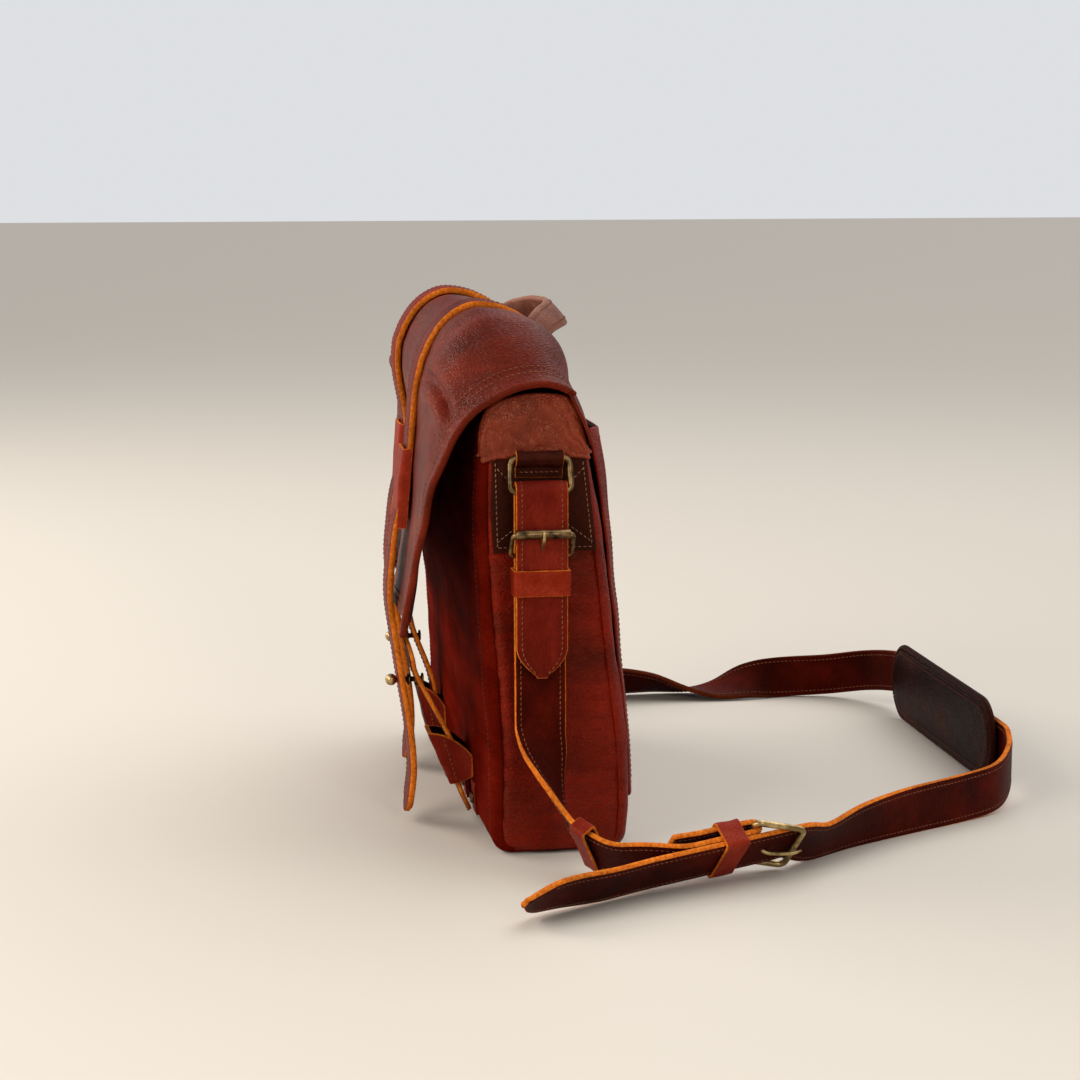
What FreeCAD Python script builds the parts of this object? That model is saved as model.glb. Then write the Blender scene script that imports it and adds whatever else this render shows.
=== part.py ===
import FreeCAD, Part

import math
import os

V = FreeCAD.Vector

# ---------------------------------------------------------------- driving sizes, mm
HALF_WIDTH = 175.0          # bag centre to the outer face of an end gusset
LEATHER = 3.0               # body panels and flap
LINING = 1.0
BASE_T = 3.0
BOARD_T = 2.5
INSERT_WALL = 7.0
INSERT_TOP = 252.0
DIVIDER_T = 8.0
DIVIDER_X = 58.0

STRAP_W = 32.0              # shoulder strap
STRAP_T = 3.5
STRAP_Y = -15.0             # middle of the shoulder strap where it hangs on a ring
RING_WIRE = 2.0             # radius
RING_HALF = 19.0
RING_TOP = (181.3, 261.0)   # X, Z of the bar in the leather sleeve
RING_LOW = (186.0, 240.0)   # X, Z of the bar that carries the strap
FOLD_IN = 3.4               # inside radius of the strap where it turns over the ring
FOLD_OUT = FOLD_IN + STRAP_T
PIVOT_Z = 112.0             # the hanging strap end turns here
TAIL_TIP_Z = 121.0
PRONG_WIRE = 1.2

CLOSURE_X = 76.0            # middle of each closure strap
CLOSURE_W = 28.0
CLOSURE_T = 4.2
STUD_Z = 98.0
BALL_R = 4.0
NECK_R = 1.75

END_BAR = (186.0, 199.0)    # X, Z of the bar the prong turns on
END_ROLLER = (196.5, 214.0)
END_BUCKLE_HALF = 19.6
TAIL_HOLE_Z = (164.0, 147.0)

# shoulder strap where it lies on the floor
LEAN = 41.0                 # lean of the strap near the buckle, degrees from upright
BUCKLE_AT = V(254.0, 108.0, 18.9)    # middle of the long strap beside the buckle bar
UP = V(0, 0, 1)
OUTWARD = V(0.9368, 0.35, 0)
ALONG = V(-0.3494, 0.9352, 0.0575)
RISE = OUTWARD.cross(ALONG)
ACROSS = OUTWARD * math.sin(math.radians(LEAN)) + RISE * math.cos(math.radians(LEAN))
FACE = OUTWARD * math.cos(math.radians(LEAN)) - RISE * math.sin(math.radians(LEAN))
SHORT_OFF = -3.9            # middle of the short strap, measured along FACE
BAR_OFF = -7.85
FOLDED_OFF = -11.8
FAR_BAR = (30.0, 4.4)       # far bar of the buckle, along and out
LOOSE_AT = V(237.5, 8.2, 21.6)
LOOSE_RUN = V(0.83, 0.49, -0.26)
LOOSE_ACROSS = V(0.88, 0.02, 0.46)

PAD_Y = (329.0, 337.4)
PAD_X = (-157.0, 27.0)      # centres of the pad's round ends
PAD_R = 28.5
PAD_Z = 31.0
PAD_LOOP_X = (-140.0, 4.0)

# side profile of the body, Y and Z, from the floor up
FRONT = [(-45.0, 0), (-45.0, 60), (-47.6, 113), (-52.0, 167), (-54.5, 221), (-53.6, 262), (-51.5, 282)]
BACK = [(41.0, 0), (45.5, 40), (43.0, 80), (37.4, 124), (28.5, 201), (20.5, 250), (15.3, 274), (6.5, 297)]
TOP_EDGE = [(-46, 285), (-39, 291), (-25, 296), (-10, 297.5), (1.0, 296.5)]

# outer side profile of the flap, from the back hinge to the front bend, then down the front
FLAP_TOP_MID = [(7, 301), (3.5, 318), (-8, 336), (-24, 346.5), (-42, 350), (-54, 346.5),
                (-64, 338.5), (-71.5, 327.5), (-75.5, 318.5)]
FLAP_TOP_END = [(7, 300.6), (0, 304.5), (-12, 307), (-28, 305.5), (-38, 302.5), (-47, 298),
                (-56, 292.5), (-63, 286), (-67.2, 280.4)]
FLAP_FRONT_MID = [(-77, 315.5), (-80, 303), (-82, 290), (-85, 256), (-89, 210), (-93, 178), (-97, 150)]
FLAP_FRONT_END = [(-69.6, 276.9), (-73.4, 270), (-77, 262), (-85, 240), (-94, 204), (-100, 176), (-105, 149)]
FLAP_STATIONS = [(-182, 1), (-176, 0.86), (-166, 0.66), (-152, 0.4), (-135, 0.15), (-115, 0), (-60, 0), (-30, 0),
                 (0, 0), (30, 0), (60, 0), (115, 0), (135, 0.15), (152, 0.4), (166, 0.66), (176, 0.86), (182, 1)]

# the far side of the flap hangs closer to the body than the near side
FAR_TUCK = 15.0             # how much closer, from TUCK_FULL_Z down
TUCK_TOP_Z = 325.0
TUCK_FULL_Z = 240.0
CORNER_TUCK = 14.0          # further tuck of the flap's far bottom corner

# outer face of the hanging part of a closure strap, Y and Z
CLOSURE_LIFT = [0.5, 0.5, 0.5, 0.5, 0.6, 2.6, 2.2]    # gap between a closure strap and the flap front
CLOSURE_TAIL = [(-103.4, 148.2), (-101.5, 135), (-96.5, 101), (-91, 66), (-89, 38.5), (-91, 18), (-92.5, 7)]


# ---------------------------------------------------------------- small helpers
def box(x0, x1, y0, y1, z0, z1):
    return Part.makeBox(x1 - x0, y1 - y0, z1 - z0, V(x0, y0, z0))


def rod(a, b, radius):
    a = V(*a)
    b = V(*b)
    return Part.makeCylinder(radius, (b - a).Length, a, b - a)


def tube(points, radius):
    """A round wire through the points, with ball joints at the corners."""
    parts = [rod(a, b, radius) for a, b in zip(points, points[1:])]
    parts += [Part.makeSphere(radius, V(*p)) for p in points[1:-1]]
    return parts[0].multiFuse(parts[1:]).removeSplitter()


def spline(points):
    curve = Part.BSplineCurve()
    curve.interpolate(points)
    return curve.toShape()


def line(a, b):
    return Part.makeLine(a, b)


def in_plane(pairs, x):
    return [V(x, y, z) for y, z in pairs]


def shifted(pairs, dy):
    return [(y + dy, z) for y, z in pairs]


def inward(pairs, depth):
    """The profile moved by a depth to its right-hand side, square to its own direction."""
    out = []
    for i, (y, z) in enumerate(pairs):
        ya, za = pairs[max(i - 1, 0)]
        yb, zb = pairs[min(i + 1, len(pairs) - 1)]
        length = math.hypot(yb - ya, zb - za)
        out.append((y - (zb - za) / length * depth, z + (yb - ya) / length * depth))
    return out


def ramp(t):
    """0 below 0, 1 above 1 and smooth between."""
    t = max(0.0, min(1.0, t))
    return t * t * (3.0 - 2.0 * t)


def tucked(pairs, x):
    """A flap or closure profile with its front moved towards the body on the far side of the bag."""
    out = []
    for y, z in pairs:
        drop = ramp((TUCK_TOP_Z - z) / (TUCK_TOP_Z - TUCK_FULL_Z))
        side = FAR_TUCK * ramp((60.0 - x) / 120.0) * drop * ramp((-40.0 - y) / 25.0)
        corner = CORNER_TUCK * ramp((-95.0 - x) / 80.0) * ramp((262.0 - z) / 80.0)
        out.append((y + side + corner, z))
    return out


def tab_tuck(pairs, sign):
    """A stud tab profile, leaned towards the body on the far side."""
    if sign > 0:
        return pairs
    return [(y + FAR_TUCK * ramp((z - 30.0) / 60.0), z) for y, z in pairs]


def band_wire(outer, inner, x):
    a = in_plane(outer, x)
    b = in_plane(inner, x)
    return Part.Wire([spline(a), line(a[-1], b[-1]), spline(b[::-1]), line(b[0], a[0])])


def band(outer, inner, x0, x1):
    """A sheet between two side profiles, carried along X."""
    return Part.Face(band_wire(outer, inner, x0)).extrude(V(x1 - x0, 0, 0))


def plate(pairs, x0, x1):
    """A flat-sided block whose side outline is a polygon in Y and Z."""
    points = in_plane(pairs, x0)
    return Part.Face(Part.makePolygon(points + points[:1])).extrude(V(x1 - x0, 0, 0))


def mirrored(shape):
    return shape.mirror(V(0, 0, 0), V(1, 0, 0))


def save(name, shape):
    shape.exportStep("parts/" + name + ".step")


def save_pair(name, shape):
    """The near piece and its mirror image at the far end of the bag."""
    save(name + "_near", shape)
    save(name + "_far", mirrored(shape))


# ---------------------------------------------------------------- body shell and what it holds
def body_core(inset, x0, x1, z0, z1):
    """The space inside the front and back panels, pulled in by an inset."""
    front = shifted(FRONT, LEATHER + inset)
    back = shifted(BACK, -LEATHER - inset)
    a = in_plane(front, x0)
    b = in_plane(back, x0)
    wire = Part.Wire([spline(a), line(a[-1], b[-1]), spline(b[::-1]), line(b[0], a[0])])
    return Part.Face(wire).extrude(V(x1 - x0, 0, 0)).common(box(x0, x1, -80, 80, z0, z1))


def panels():
    save("front_panel", band(FRONT, shifted(FRONT, LEATHER), -HALF_WIDTH, HALF_WIDTH))
    save("back_panel", band(BACK, shifted(BACK, -LEATHER), -HALF_WIDTH, HALF_WIDTH))
    save("base_panel", box(-HALF_WIDTH, HALF_WIDTH, -41.9, 37.9, 0, BASE_T))


def gusset():
    """End panel between the front and back panels, with a rounded crown."""
    side = body_core(0.05, HALF_WIDTH - LEATHER, HALF_WIDTH, BASE_T + 0.05, 281.5)
    crown = [(-48.0, 281.4)] + TOP_EDGE + [(8.0, 281.4)]
    return side.fuse(plate(crown, HALF_WIDTH - LEATHER, HALF_WIDTH)).removeSplitter()


def gusset_cap():
    """Leather cap folded over the crown: outer cheek, ridge and inner cheek."""
    outer = [(-53.2, 262), (-52.6, 275), (-51.0, 284), (-47, 291), (-38, 296.5), (-25, 299.6), (-10, 300.6),
             (1.5, 299.6), (6.5, 295), (11.5, 283), (16.5, 270), (18.3, 262)]
    cheek = plate(outer, HALF_WIDTH + 0.05, HALF_WIDTH + 2.0)
    ridge = plate([(-44, 289.6), (-38, 296.5), (-25, 299.6), (-10, 300.6), (1.0, 299.6), (3.0, 296.9),
                   (-10, 297.7), (-25, 296.2), (-39, 291.8)], HALF_WIDTH - LEATHER - 2.0, HALF_WIDTH + 2.0)
    back_cheek = plate([(-41, 283), (-39, 291.8), (-25, 297.4), (-10, 299), (0.5, 298), (2.5, 283)],
                       HALF_WIDTH - LEATHER - 2.0, HALF_WIDTH - LEATHER - 0.1)
    return cheek.fuse(ridge).fuse(back_cheek).removeSplitter()


def ring_patch():
    outline = [(-44, 200), (-46, 224), (-44.5, 261.8), (15.0, 261.8), (18.0, 240), (21.5, 210), (20, 200)]
    return plate(outline, HALF_WIDTH + 0.05, HALF_WIDTH + 2.0)


def ring_sleeve():
    """Leather folded round the top bar of the ring and sewn to the patch."""
    x, z = RING_TOP
    root = HALF_WIDTH + 2.05
    body = rod((x, -30, z), (x, 0, z), 4.2)
    body = body.fuse(box(root, x, -30, 0, z - 13, z + 4.2))
    body = body.cut(box(x - 2.2, x + 6, -31, 1, z - 14, z - 4.4))
    return body.cut(rod((x, -31, z), (x, 1, z), RING_WIRE + 0.06)).removeSplitter()


def strap_ring():
    xt, zt = RING_TOP
    xl, zl = RING_LOW
    y0 = STRAP_Y - RING_HALF
    y1 = STRAP_Y + RING_HALF
    loop = [(xt, STRAP_Y, zt), (xt, y0, zt), (xl, y0, zl), (xl, y1, zl), (xt, y1, zt), (xt, STRAP_Y, zt)]
    return tube(loop, RING_WIRE)


def base_board():
    save("base_board", body_core(1.3, -168, 168, BASE_T + 0.1, BASE_T + 0.1 + BOARD_T))


def lining():
    floor_z = BASE_T + BOARD_T + 0.3
    outer = body_core(0.1, -170, 170, floor_z, 278)
    inner = body_core(0.1 + LINING, -170 + LINING, 170 - LINING, floor_z + LINING, 290)
    save("body_lining", outer.cut(inner))


def insert_and_dividers():
    floor_z = BASE_T + BOARD_T + LINING + 0.5
    outer = body_core(LINING + 0.4, -168.5, 168.5, floor_z, INSERT_TOP)
    inner = body_core(LINING + 0.4 + INSERT_WALL, -168.5 + INSERT_WALL, 168.5 - INSERT_WALL,
                      floor_z + INSERT_WALL, INSERT_TOP + 10)
    save("padded_insert", outer.cut(inner))
    gap = LINING + 0.4 + INSERT_WALL + 0.5
    divider = body_core(gap, DIVIDER_X - DIVIDER_T / 2, DIVIDER_X + DIVIDER_T / 2,
                        floor_z + INSERT_WALL + 0.5, INSERT_TOP - 12)
    save_pair("divider", divider)


def back_pocket():
    """Open slip pocket: a bowed panel on side and bottom welts, with a thin lining inside."""
    flare = [3.2, 3.2, 3.4, 4.0, 6.0, 8.5, 9.5]
    seam = [(45.0, 30), (45.5, 40), (43.0, 80), (37.4, 124), (28.5, 201), (20.5, 250), (15.3, 274)]
    inner = [(y + f, z + 0.25 * f) for (y, z), f in zip(seam, flare)]
    outer = [(y + 2.5, z + 0.6) for y, z in inner]
    body = band(shifted(BACK, -40), shifted(BACK, 0.05), -170, 170)
    whole = band(shifted(seam, -2), outer, -165, 165)
    cavity = band(shifted(seam, -3), inner, -159, 159).common(box(-160, 160, -80, 80, 36, 290))
    save("back_pocket", whole.cut(cavity).cut(body))
    sheet = band(shifted(inner, -1.0), shifted(inner, -0.2), -158.8, 158.8)
    sheet = sheet.common(box(-160, 160, -10, 80, 36.2, 276)).cut(body)
    save("back_pocket_lining", sheet)


# ---------------------------------------------------------------- flap
def flap_shell(mid, end, depth_out, depth_in, x_limit=200):
    """A domed sheet lofted through side profiles that change from the middle to the ends."""
    wires = []
    for x, blend in FLAP_STATIONS:
        if abs(x) > x_limit:
            continue
        pairs = [(m[0] + (e[0] - m[0]) * blend, m[1] + (e[1] - m[1]) * blend) for m, e in zip(mid, end)]
        pairs = tucked(pairs, x)
        wires.append(band_wire(inward(pairs, depth_out), inward(pairs, depth_in), x))
    return Part.makeLoft(wires, True, True)


def flap():
    save("flap_top", flap_shell(FLAP_TOP_MID, FLAP_TOP_END, 0, LEATHER))
    save("flap_front", flap_shell(FLAP_FRONT_MID, FLAP_FRONT_END, 0, LEATHER))
    lining_mid = FLAP_FRONT_MID[2:]
    lining_end = FLAP_FRONT_END[2:]
    save("flap_lining", flap_shell(lining_mid, lining_end, LEATHER + 0.5, LEATHER + 1.6, 178))


def closure_band(outer, inner, x):
    half = CLOSURE_W / 2
    return band(outer, inner, x - half, x + half)


def closure_top(sign):
    x = sign * CLOSURE_X
    side = tucked(FLAP_TOP_MID, x)
    run = closure_band(inward(side, -CLOSURE_T - 0.4), inward(side, -0.4), x)
    return run.common(box(-200, 200, -120, -11, 300, 380))


def closure_front(sign):
    x = sign * CLOSURE_X
    flap_side = tucked(FLAP_FRONT_MID, x)
    side = [inward(flap_side, -lift) for lift in CLOSURE_LIFT]
    inner = [side[i][i] for i in range(len(side))]
    return closure_band(inward(inner, -CLOSURE_T), inner, x).common(box(-200, 200, -120, -50, 151.7, 312))


def closure_tail(sign):
    """Hanging end of a closure strap with a rounded tip and a stretched buttonhole."""
    x = sign * CLOSURE_X
    outer = tucked(CLOSURE_TAIL, x)
    strap = closure_band(outer, inward(outer, CLOSURE_T), x)
    low = CLOSURE_TAIL[-1][1]
    half = CLOSURE_W / 2
    keep = box(x - half, x + half, -120, -50, low + half, 160)
    keep = keep.fuse(Part.makeCylinder(half, 75, V(x, -125, low + half), V(0, 1, 0)))
    strap = strap.common(keep)
    reach = BALL_R + 0.5
    hole = box(x - reach, x + reach, -120, -60, STUD_Z - 6, STUD_Z + 3)
    for z in (STUD_Z + 3, STUD_Z - 6):
        hole = hole.fuse(Part.makeCylinder(reach, 60, V(x, -120, z), V(0, 1, 0)))
    return strap.cut(hole).removeSplitter()


def flap_loop(sign):
    """Leather loop sewn to the flap front; the closure strap runs through it."""
    x = sign * CLOSURE_X
    run = tucked([(-84.9, 257), (-87, 233), (-89.5, 204)], x)
    outer = [(y - 7.8 - b, z) for (y, z), b in zip(run, (0, 1.5, 0.5))]
    inner = [(y - 5.3 - b, z) for (y, z), b in zip(run, (0, 1.5, 0.5))]
    half = CLOSURE_W / 2 + 3.6
    root = [(y - 1.0, z) for y, z in run]
    whole = band(outer, root, x - half, x + half)
    tunnel = band(inner, [(y + 3, z) for y, z in run], x - half + 2.6, x + half - 2.6)
    return whole.cut(tunnel)


# ---------------------------------------------------------------- lower stud tabs and holders
def stud_tab(sign):
    """Leather tab that rises from the holder and carries the ball stud."""
    x = sign * CLOSURE_X
    outline = [(-92.5, 124.5), (-89.4, 126.0), (-83.0, 100.0), (-65.5, 66.0), (-54.8, 44.0), (-54.8, 28.0),
               (-58.0, 28.0), (-58.2, 44.6), (-68.7, 67.5), (-86.4, 101.0)]
    tab = plate(tab_tuck(outline, sign), x - 13, x + 13)
    return tab.cut(rod((x, -95, STUD_Z), (x, -50, STUD_Z), NECK_R + 0.02))


def ball_stud(sign):
    """Brass ball on a neck, clenched through the tab with a collar in front and a cap behind."""
    x = sign * CLOSURE_X
    dy = 0.0 if sign > 0 else FAR_TUCK
    ball = Part.makeSphere(BALL_R, V(x, dy - 100.5, STUD_Z))
    neck = rod((x, dy - 98.5, STUD_Z), (x, dy - 79.0, STUD_Z), NECK_R)
    collar = rod((x, dy - 89.4, STUD_Z), (x, dy - 87.2, STUD_Z), 4.2)
    cap = rod((x, dy - 79.6, STUD_Z), (x, dy - 78.2, STUD_Z), 4.2)
    return ball.fuse(neck).fuse(collar).fuse(cap).removeSplitter()


def tab_holder(sign):
    """Wedge-shaped leather pocket on the front panel, open at the top, with a flat ear on each side."""
    x = sign * CLOSURE_X
    lip = 0.0 if sign > 0 else 9.0
    outer = [(lip - 76.5, 62.0), (0.4 * lip - 66.0, 36.0), (-56.0, 14.0), (-49.0, 9.0), (-45.4, 9.0), (-45.4, 62.0)]
    inner = [(lip - 73.2, 63.0), (0.4 * lip - 63.3, 37.0), (-58.0, 22.0), (-50.0, 20.0), (-48.4, 20.0),
             (-48.4, 63.0)]
    wedge = plate(outer, x - 19, x + 19).cut(plate(inner, x - 16, x + 16))
    return wedge.fuse(box(x - 30, x + 30, -47.2, -45.4, 9, 31)).removeSplitter()


def holder_rivets():
    """Flat rivets through the side ears of both holders."""
    heads = []
    for side in (-1, 1):
        for ear in (-24.0, 24.0):
            x = side * CLOSURE_X + ear
            disc = rod((x, -48.6, 20), (x, -47.3, 20), 4.0)
            dome = Part.makeSphere(6.8, V(x, -43.4, 20)).common(box(x - 5, x + 5, -52, -48.6, 14, 26))
            heads.append(disc.fuse(dome).removeSplitter())
    return Part.makeCompound(heads)


# ---------------------------------------------------------------- carry handle
def carry_handle():
    """Soft arched handle that lies back over the rear of the flap."""
    stations = [(-66, -1.2, 336.7), (-52, 6, 341), (-30, 16.5, 343), (0, 20.5, 342), (30, 16.5, 343),
                (52, 6, 341), (66, -1.2, 336.7)]
    wires = []
    for x, y, z in stations:
        w = 13.0 - 2.5 * abs(x) / 66.0
        t = 3.0
        across = V(0, 0.66, -0.75)
        out = V(0, 0.75, 0.66)
        c = V(x, y, z) + across * 4.0
        corners = [c - across * w - out * t * 0.5, c - across * (w - 2) - out * t, c + across * (w - 2) - out * t,
                   c + across * w - out * t * 0.5, c + across * w + out * t * 0.5, c + across * (w - 2) + out * t,
                   c - across * (w - 2) + out * t, c - across * w + out * t * 0.5]
        wires.append(Part.makePolygon(corners + corners[:1]))
    return Part.makeLoft(wires, True, False)


# ---------------------------------------------------------------- strap end on a ring
def fold_parts():
    """The strap's turn over the low bar of the ring, its rear layer and its front layer."""
    x, z = RING_LOW
    y0 = STRAP_Y - STRAP_W / 2
    y1 = STRAP_Y + STRAP_W / 2
    sleeve = rod((x, y0, z), (x, y1, z), FOLD_OUT).cut(rod((x, -60, z), (x, 60, z), FOLD_IN))
    turn = sleeve.common(box(x - 10, x + 10, y0, y1, z, z + 10))
    rear = box(x - FOLD_OUT, x - FOLD_IN, y0, y1, PIVOT_Z, z)
    rear = rear.fuse(rod((x - FOLD_OUT, STRAP_Y, PIVOT_Z), (x - FOLD_IN, STRAP_Y, PIVOT_Z), STRAP_W / 2))
    front = box(x + FOLD_IN, x + FOLD_OUT, y0, y1, TAIL_TIP_Z, z)
    return turn, rear, front


def strap_end():
    """Strap turned over the ring: long layer behind, pointed tail in front."""
    turn, rear, front = fold_parts()
    x = RING_LOW[0]
    y0 = STRAP_Y - STRAP_W / 2
    y1 = STRAP_Y + STRAP_W / 2
    point = [(y0, 300), (y0, TAIL_TIP_Z + 13), (STRAP_Y - 6, TAIL_TIP_Z + 1.5), (STRAP_Y, TAIL_TIP_Z),
             (STRAP_Y + 6, TAIL_TIP_Z + 1.5), (y1, TAIL_TIP_Z + 13), (y1, 300)]
    front = front.common(plate(point, x, x + 12))
    for z in TAIL_HOLE_Z:
        front = front.cut(rod((x + 1, STRAP_Y, z), (x + 9, STRAP_Y, z), 2.1))
    slot = box(x + 1, x + 9, STRAP_Y - 2, STRAP_Y + 2, 198.6, 208.5)
    return turn.fuse(rear).fuse(front.cut(slot)).removeSplitter()


def end_buckle():
    half = END_BUCKLE_HALF
    xb, zb = END_BAR
    xr, zr = END_ROLLER
    loop = [(xb, STRAP_Y, zb), (xb, STRAP_Y - half, zb), (xr, STRAP_Y - half, zr), (xr, STRAP_Y + half, zr),
            (xb, STRAP_Y + half, zb), (xb, STRAP_Y, zb)]
    return tube(loop, 1.5)


def end_roller():
    x, z = END_ROLLER
    whole = rod((x, STRAP_Y - 17.6, z), (x, STRAP_Y + 17.6, z), 2.9)
    return whole.cut(rod((x, STRAP_Y - 18, z), (x, STRAP_Y + 18, z), 1.56))


def end_prong():
    """Eye on the buckle bar and a wire that passes the tail and rests on the roller."""
    x, z = END_BAR
    eye = rod((x, STRAP_Y - 1.8, z), (x, STRAP_Y + 1.8, z), 3.1)
    wire = tube([(x + 2.2, STRAP_Y, z + 1.5), (x + 9.5, STRAP_Y, z + 7.8), (x + 14.3, STRAP_Y, z + 12.0),
                 (x + 15.6, STRAP_Y, z + 17.0)], PRONG_WIRE)
    tip = Part.makeSphere(PRONG_WIRE, V(x + 15.6, STRAP_Y, z + 17.0))
    hole = rod((x, STRAP_Y - 4, z), (x, STRAP_Y + 4, z), 1.56)
    return eye.fuse(wire).fuse(tip).cut(hole).removeSplitter()


def end_keeper():
    """Leather chape round the buckle bar, carried down into a keeper round both layers."""
    x, z = END_BAR
    y0 = STRAP_Y - STRAP_W / 2 - 0.35
    y1 = STRAP_Y + STRAP_W / 2 + 0.35
    x0 = x - FOLD_OUT - 0.2
    x1 = x + FOLD_OUT + 0.2
    ring = box(x0 - 1.8, x1 + 1.8, y0 - 2, y1 + 2, 174, 190).cut(box(x0, x1, y0, y1, 170, 195))
    chape = box(x - 3.2, x + 3.2, y0 - 0.5, y1 + 0.5, 174, 190)
    chape = chape.fuse(box(x - 3.2, x + 3.2, y0 + 0.5, y1 - 0.5, 189, z))
    chape = chape.fuse(rod((x, y0 + 0.5, z), (x, y1 - 0.5, z), 3.2))
    chape = chape.cut(rod((x, y0 - 1, z), (x, y1 + 1, z), 1.56))
    chape = chape.cut(box(x - 6, x + 6, STRAP_Y - 2.4, STRAP_Y + 2.4, z - 4.6, z + 6))
    return ring.fuse(chape).removeSplitter()


# ---------------------------------------------------------------- shoulder strap on the floor
def at(s, n=0.0, w=0.0):
    """A point beside the buckle: along the strap, out of its face, across its width."""
    return BUCKLE_AT + ALONG * s + FACE * n + ACROSS * w


def unit(v):
    return v * (1.0 / v.Length)


def eased(a, b, c, d, t):
    """Value on a smooth curve from b to c that also follows a and d."""
    return (b * 2 + (c - a) * t + (a * 2 - b * 5 + c * 4 - d) * t ** 2 + (b * 3 - c * 3 + d - a) * t ** 3) * 0.5


def refined(stations, steps=3):
    out = []
    last = len(stations) - 1
    for i in range(last):
        four = [stations[max(i - 1, 0)], stations[i], stations[i + 1], stations[min(i + 2, last)]]
        for k in range(steps):
            out.append(tuple(eased(*[f[j] for f in four], k / steps) for j in range(3)))
    return out + [stations[-1]]


def ribbon(stations, thick=STRAP_T, steps=3):
    """Strap lofted through stations of middle point, width direction and width."""
    stations = refined(stations, steps)
    wires = []
    for i, (p, across, width) in enumerate(stations):
        a = stations[max(i - 1, 0)][0]
        b = stations[min(i + 1, len(stations) - 1)][0]
        run = unit(b - a)
        side = unit(across - run * across.dot(run))
        out = unit(run.cross(side)) * (thick / 2)
        side = side * (width / 2)
        corners = [p - side - out, p + side - out, p + side + out, p - side + out]
        wires.append(Part.makePolygon(corners + corners[:1]))
    return Part.makeLoft(wires, True, True)


def leaning(x, y, run, lean, z=None, width=STRAP_W):
    """A station standing on the floor with its top edge leaning to the outside of the loop."""
    run = unit(V(run[0], run[1], 0))
    outside = V(run.y, -run.x, 0)
    a = math.radians(lean)
    across = outside * math.sin(a) + UP * math.cos(a)
    if z is None:
        z = abs(math.cos(a)) * STRAP_W / 2 + abs(math.sin(a)) * STRAP_T / 2 + 0.3
    return (V(x, y, z), across, width)


def block(s0, s1, n0, n1, w0, w1):
    """A box in the directions of the leaning strap beside the buckle."""
    corners = [at(s0, n0, w0), at(s1, n0, w0), at(s1, n1, w0), at(s0, n1, w0)]
    face = Part.Face(Part.makePolygon(corners + corners[:1]))
    return face.extrude(ACROSS * (w1 - w0))


def pivot_disc(sign):
    x0 = sign * (RING_LOW[0] - FOLD_IN + 0.2)
    x1 = sign * (RING_LOW[0] - FOLD_IN + 0.2 + STRAP_T)
    disc = rod((x0, STRAP_Y, PIVOT_Z), (x1, STRAP_Y, PIVOT_Z), STRAP_W / 2)
    return disc.fuse(box(min(x0, x1), max(x0, x1), STRAP_Y - 16, STRAP_Y + 16, PIVOT_Z - 22, PIVOT_Z))


def strap_short():
    """From the near pivot down, twisting on to the floor, to the buckle bar and back."""
    x = RING_LOW[0] - FOLD_IN + 0.2 + STRAP_T / 2
    w = STRAP_W
    front = V(0, -1, 0)
    run = [(V(x, STRAP_Y, PIVOT_Z - 21.5), front, w), (V(x + 1.0, STRAP_Y, 84), V(0.15, -1, 0), w),
           (V(190, -13.5, 72), V(0.45, -0.9, 0), w), (V(198, -11, 56), V(0.85, -0.5, 0), w),
           (V(210, -6, 39), V(1, -0.1, 0.05), w), (V(228, 3, 25), V(0.95, 0, 0.3), w),
           (V(246, 14, 18.5), V(0.8, 0.05, 0.6), w), (V(259, 28, 17.2), V(0.72, 0.05, 0.7), w),
           (at(-65, SHORT_OFF - 4.5, -1.5), ACROSS, w), (at(-50, SHORT_OFF - 0.2), ACROSS, w)]
    main = ribbon(run).fuse(ribbon([(at(s, SHORT_OFF), ACROSS, w) for s in (-50, 0)], steps=1))
    bar = at(0, BAR_OFF)
    turn = Part.makeCylinder(BAR_OFF * -1 + SHORT_OFF + STRAP_T / 2, w, bar - ACROSS * (w / 2), ACROSS)
    turn = turn.cut(Part.makeCylinder(2.2, w + 4, bar - ACROSS * (w / 2 + 2), ACROSS))
    turn = turn.common(block(-0.8, 10, -20, 6, -20, 20))
    folded = ribbon([(at(s, FOLDED_OFF), ACROSS, w) for s in (-56, 0.0)], steps=1)
    strap = pivot_disc(1).fuse(main).fuse(turn).fuse(folded)
    return strap.cut(block(-7.5, 10, -20, 1, -2.6, 2.6)).removeSplitter()


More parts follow.
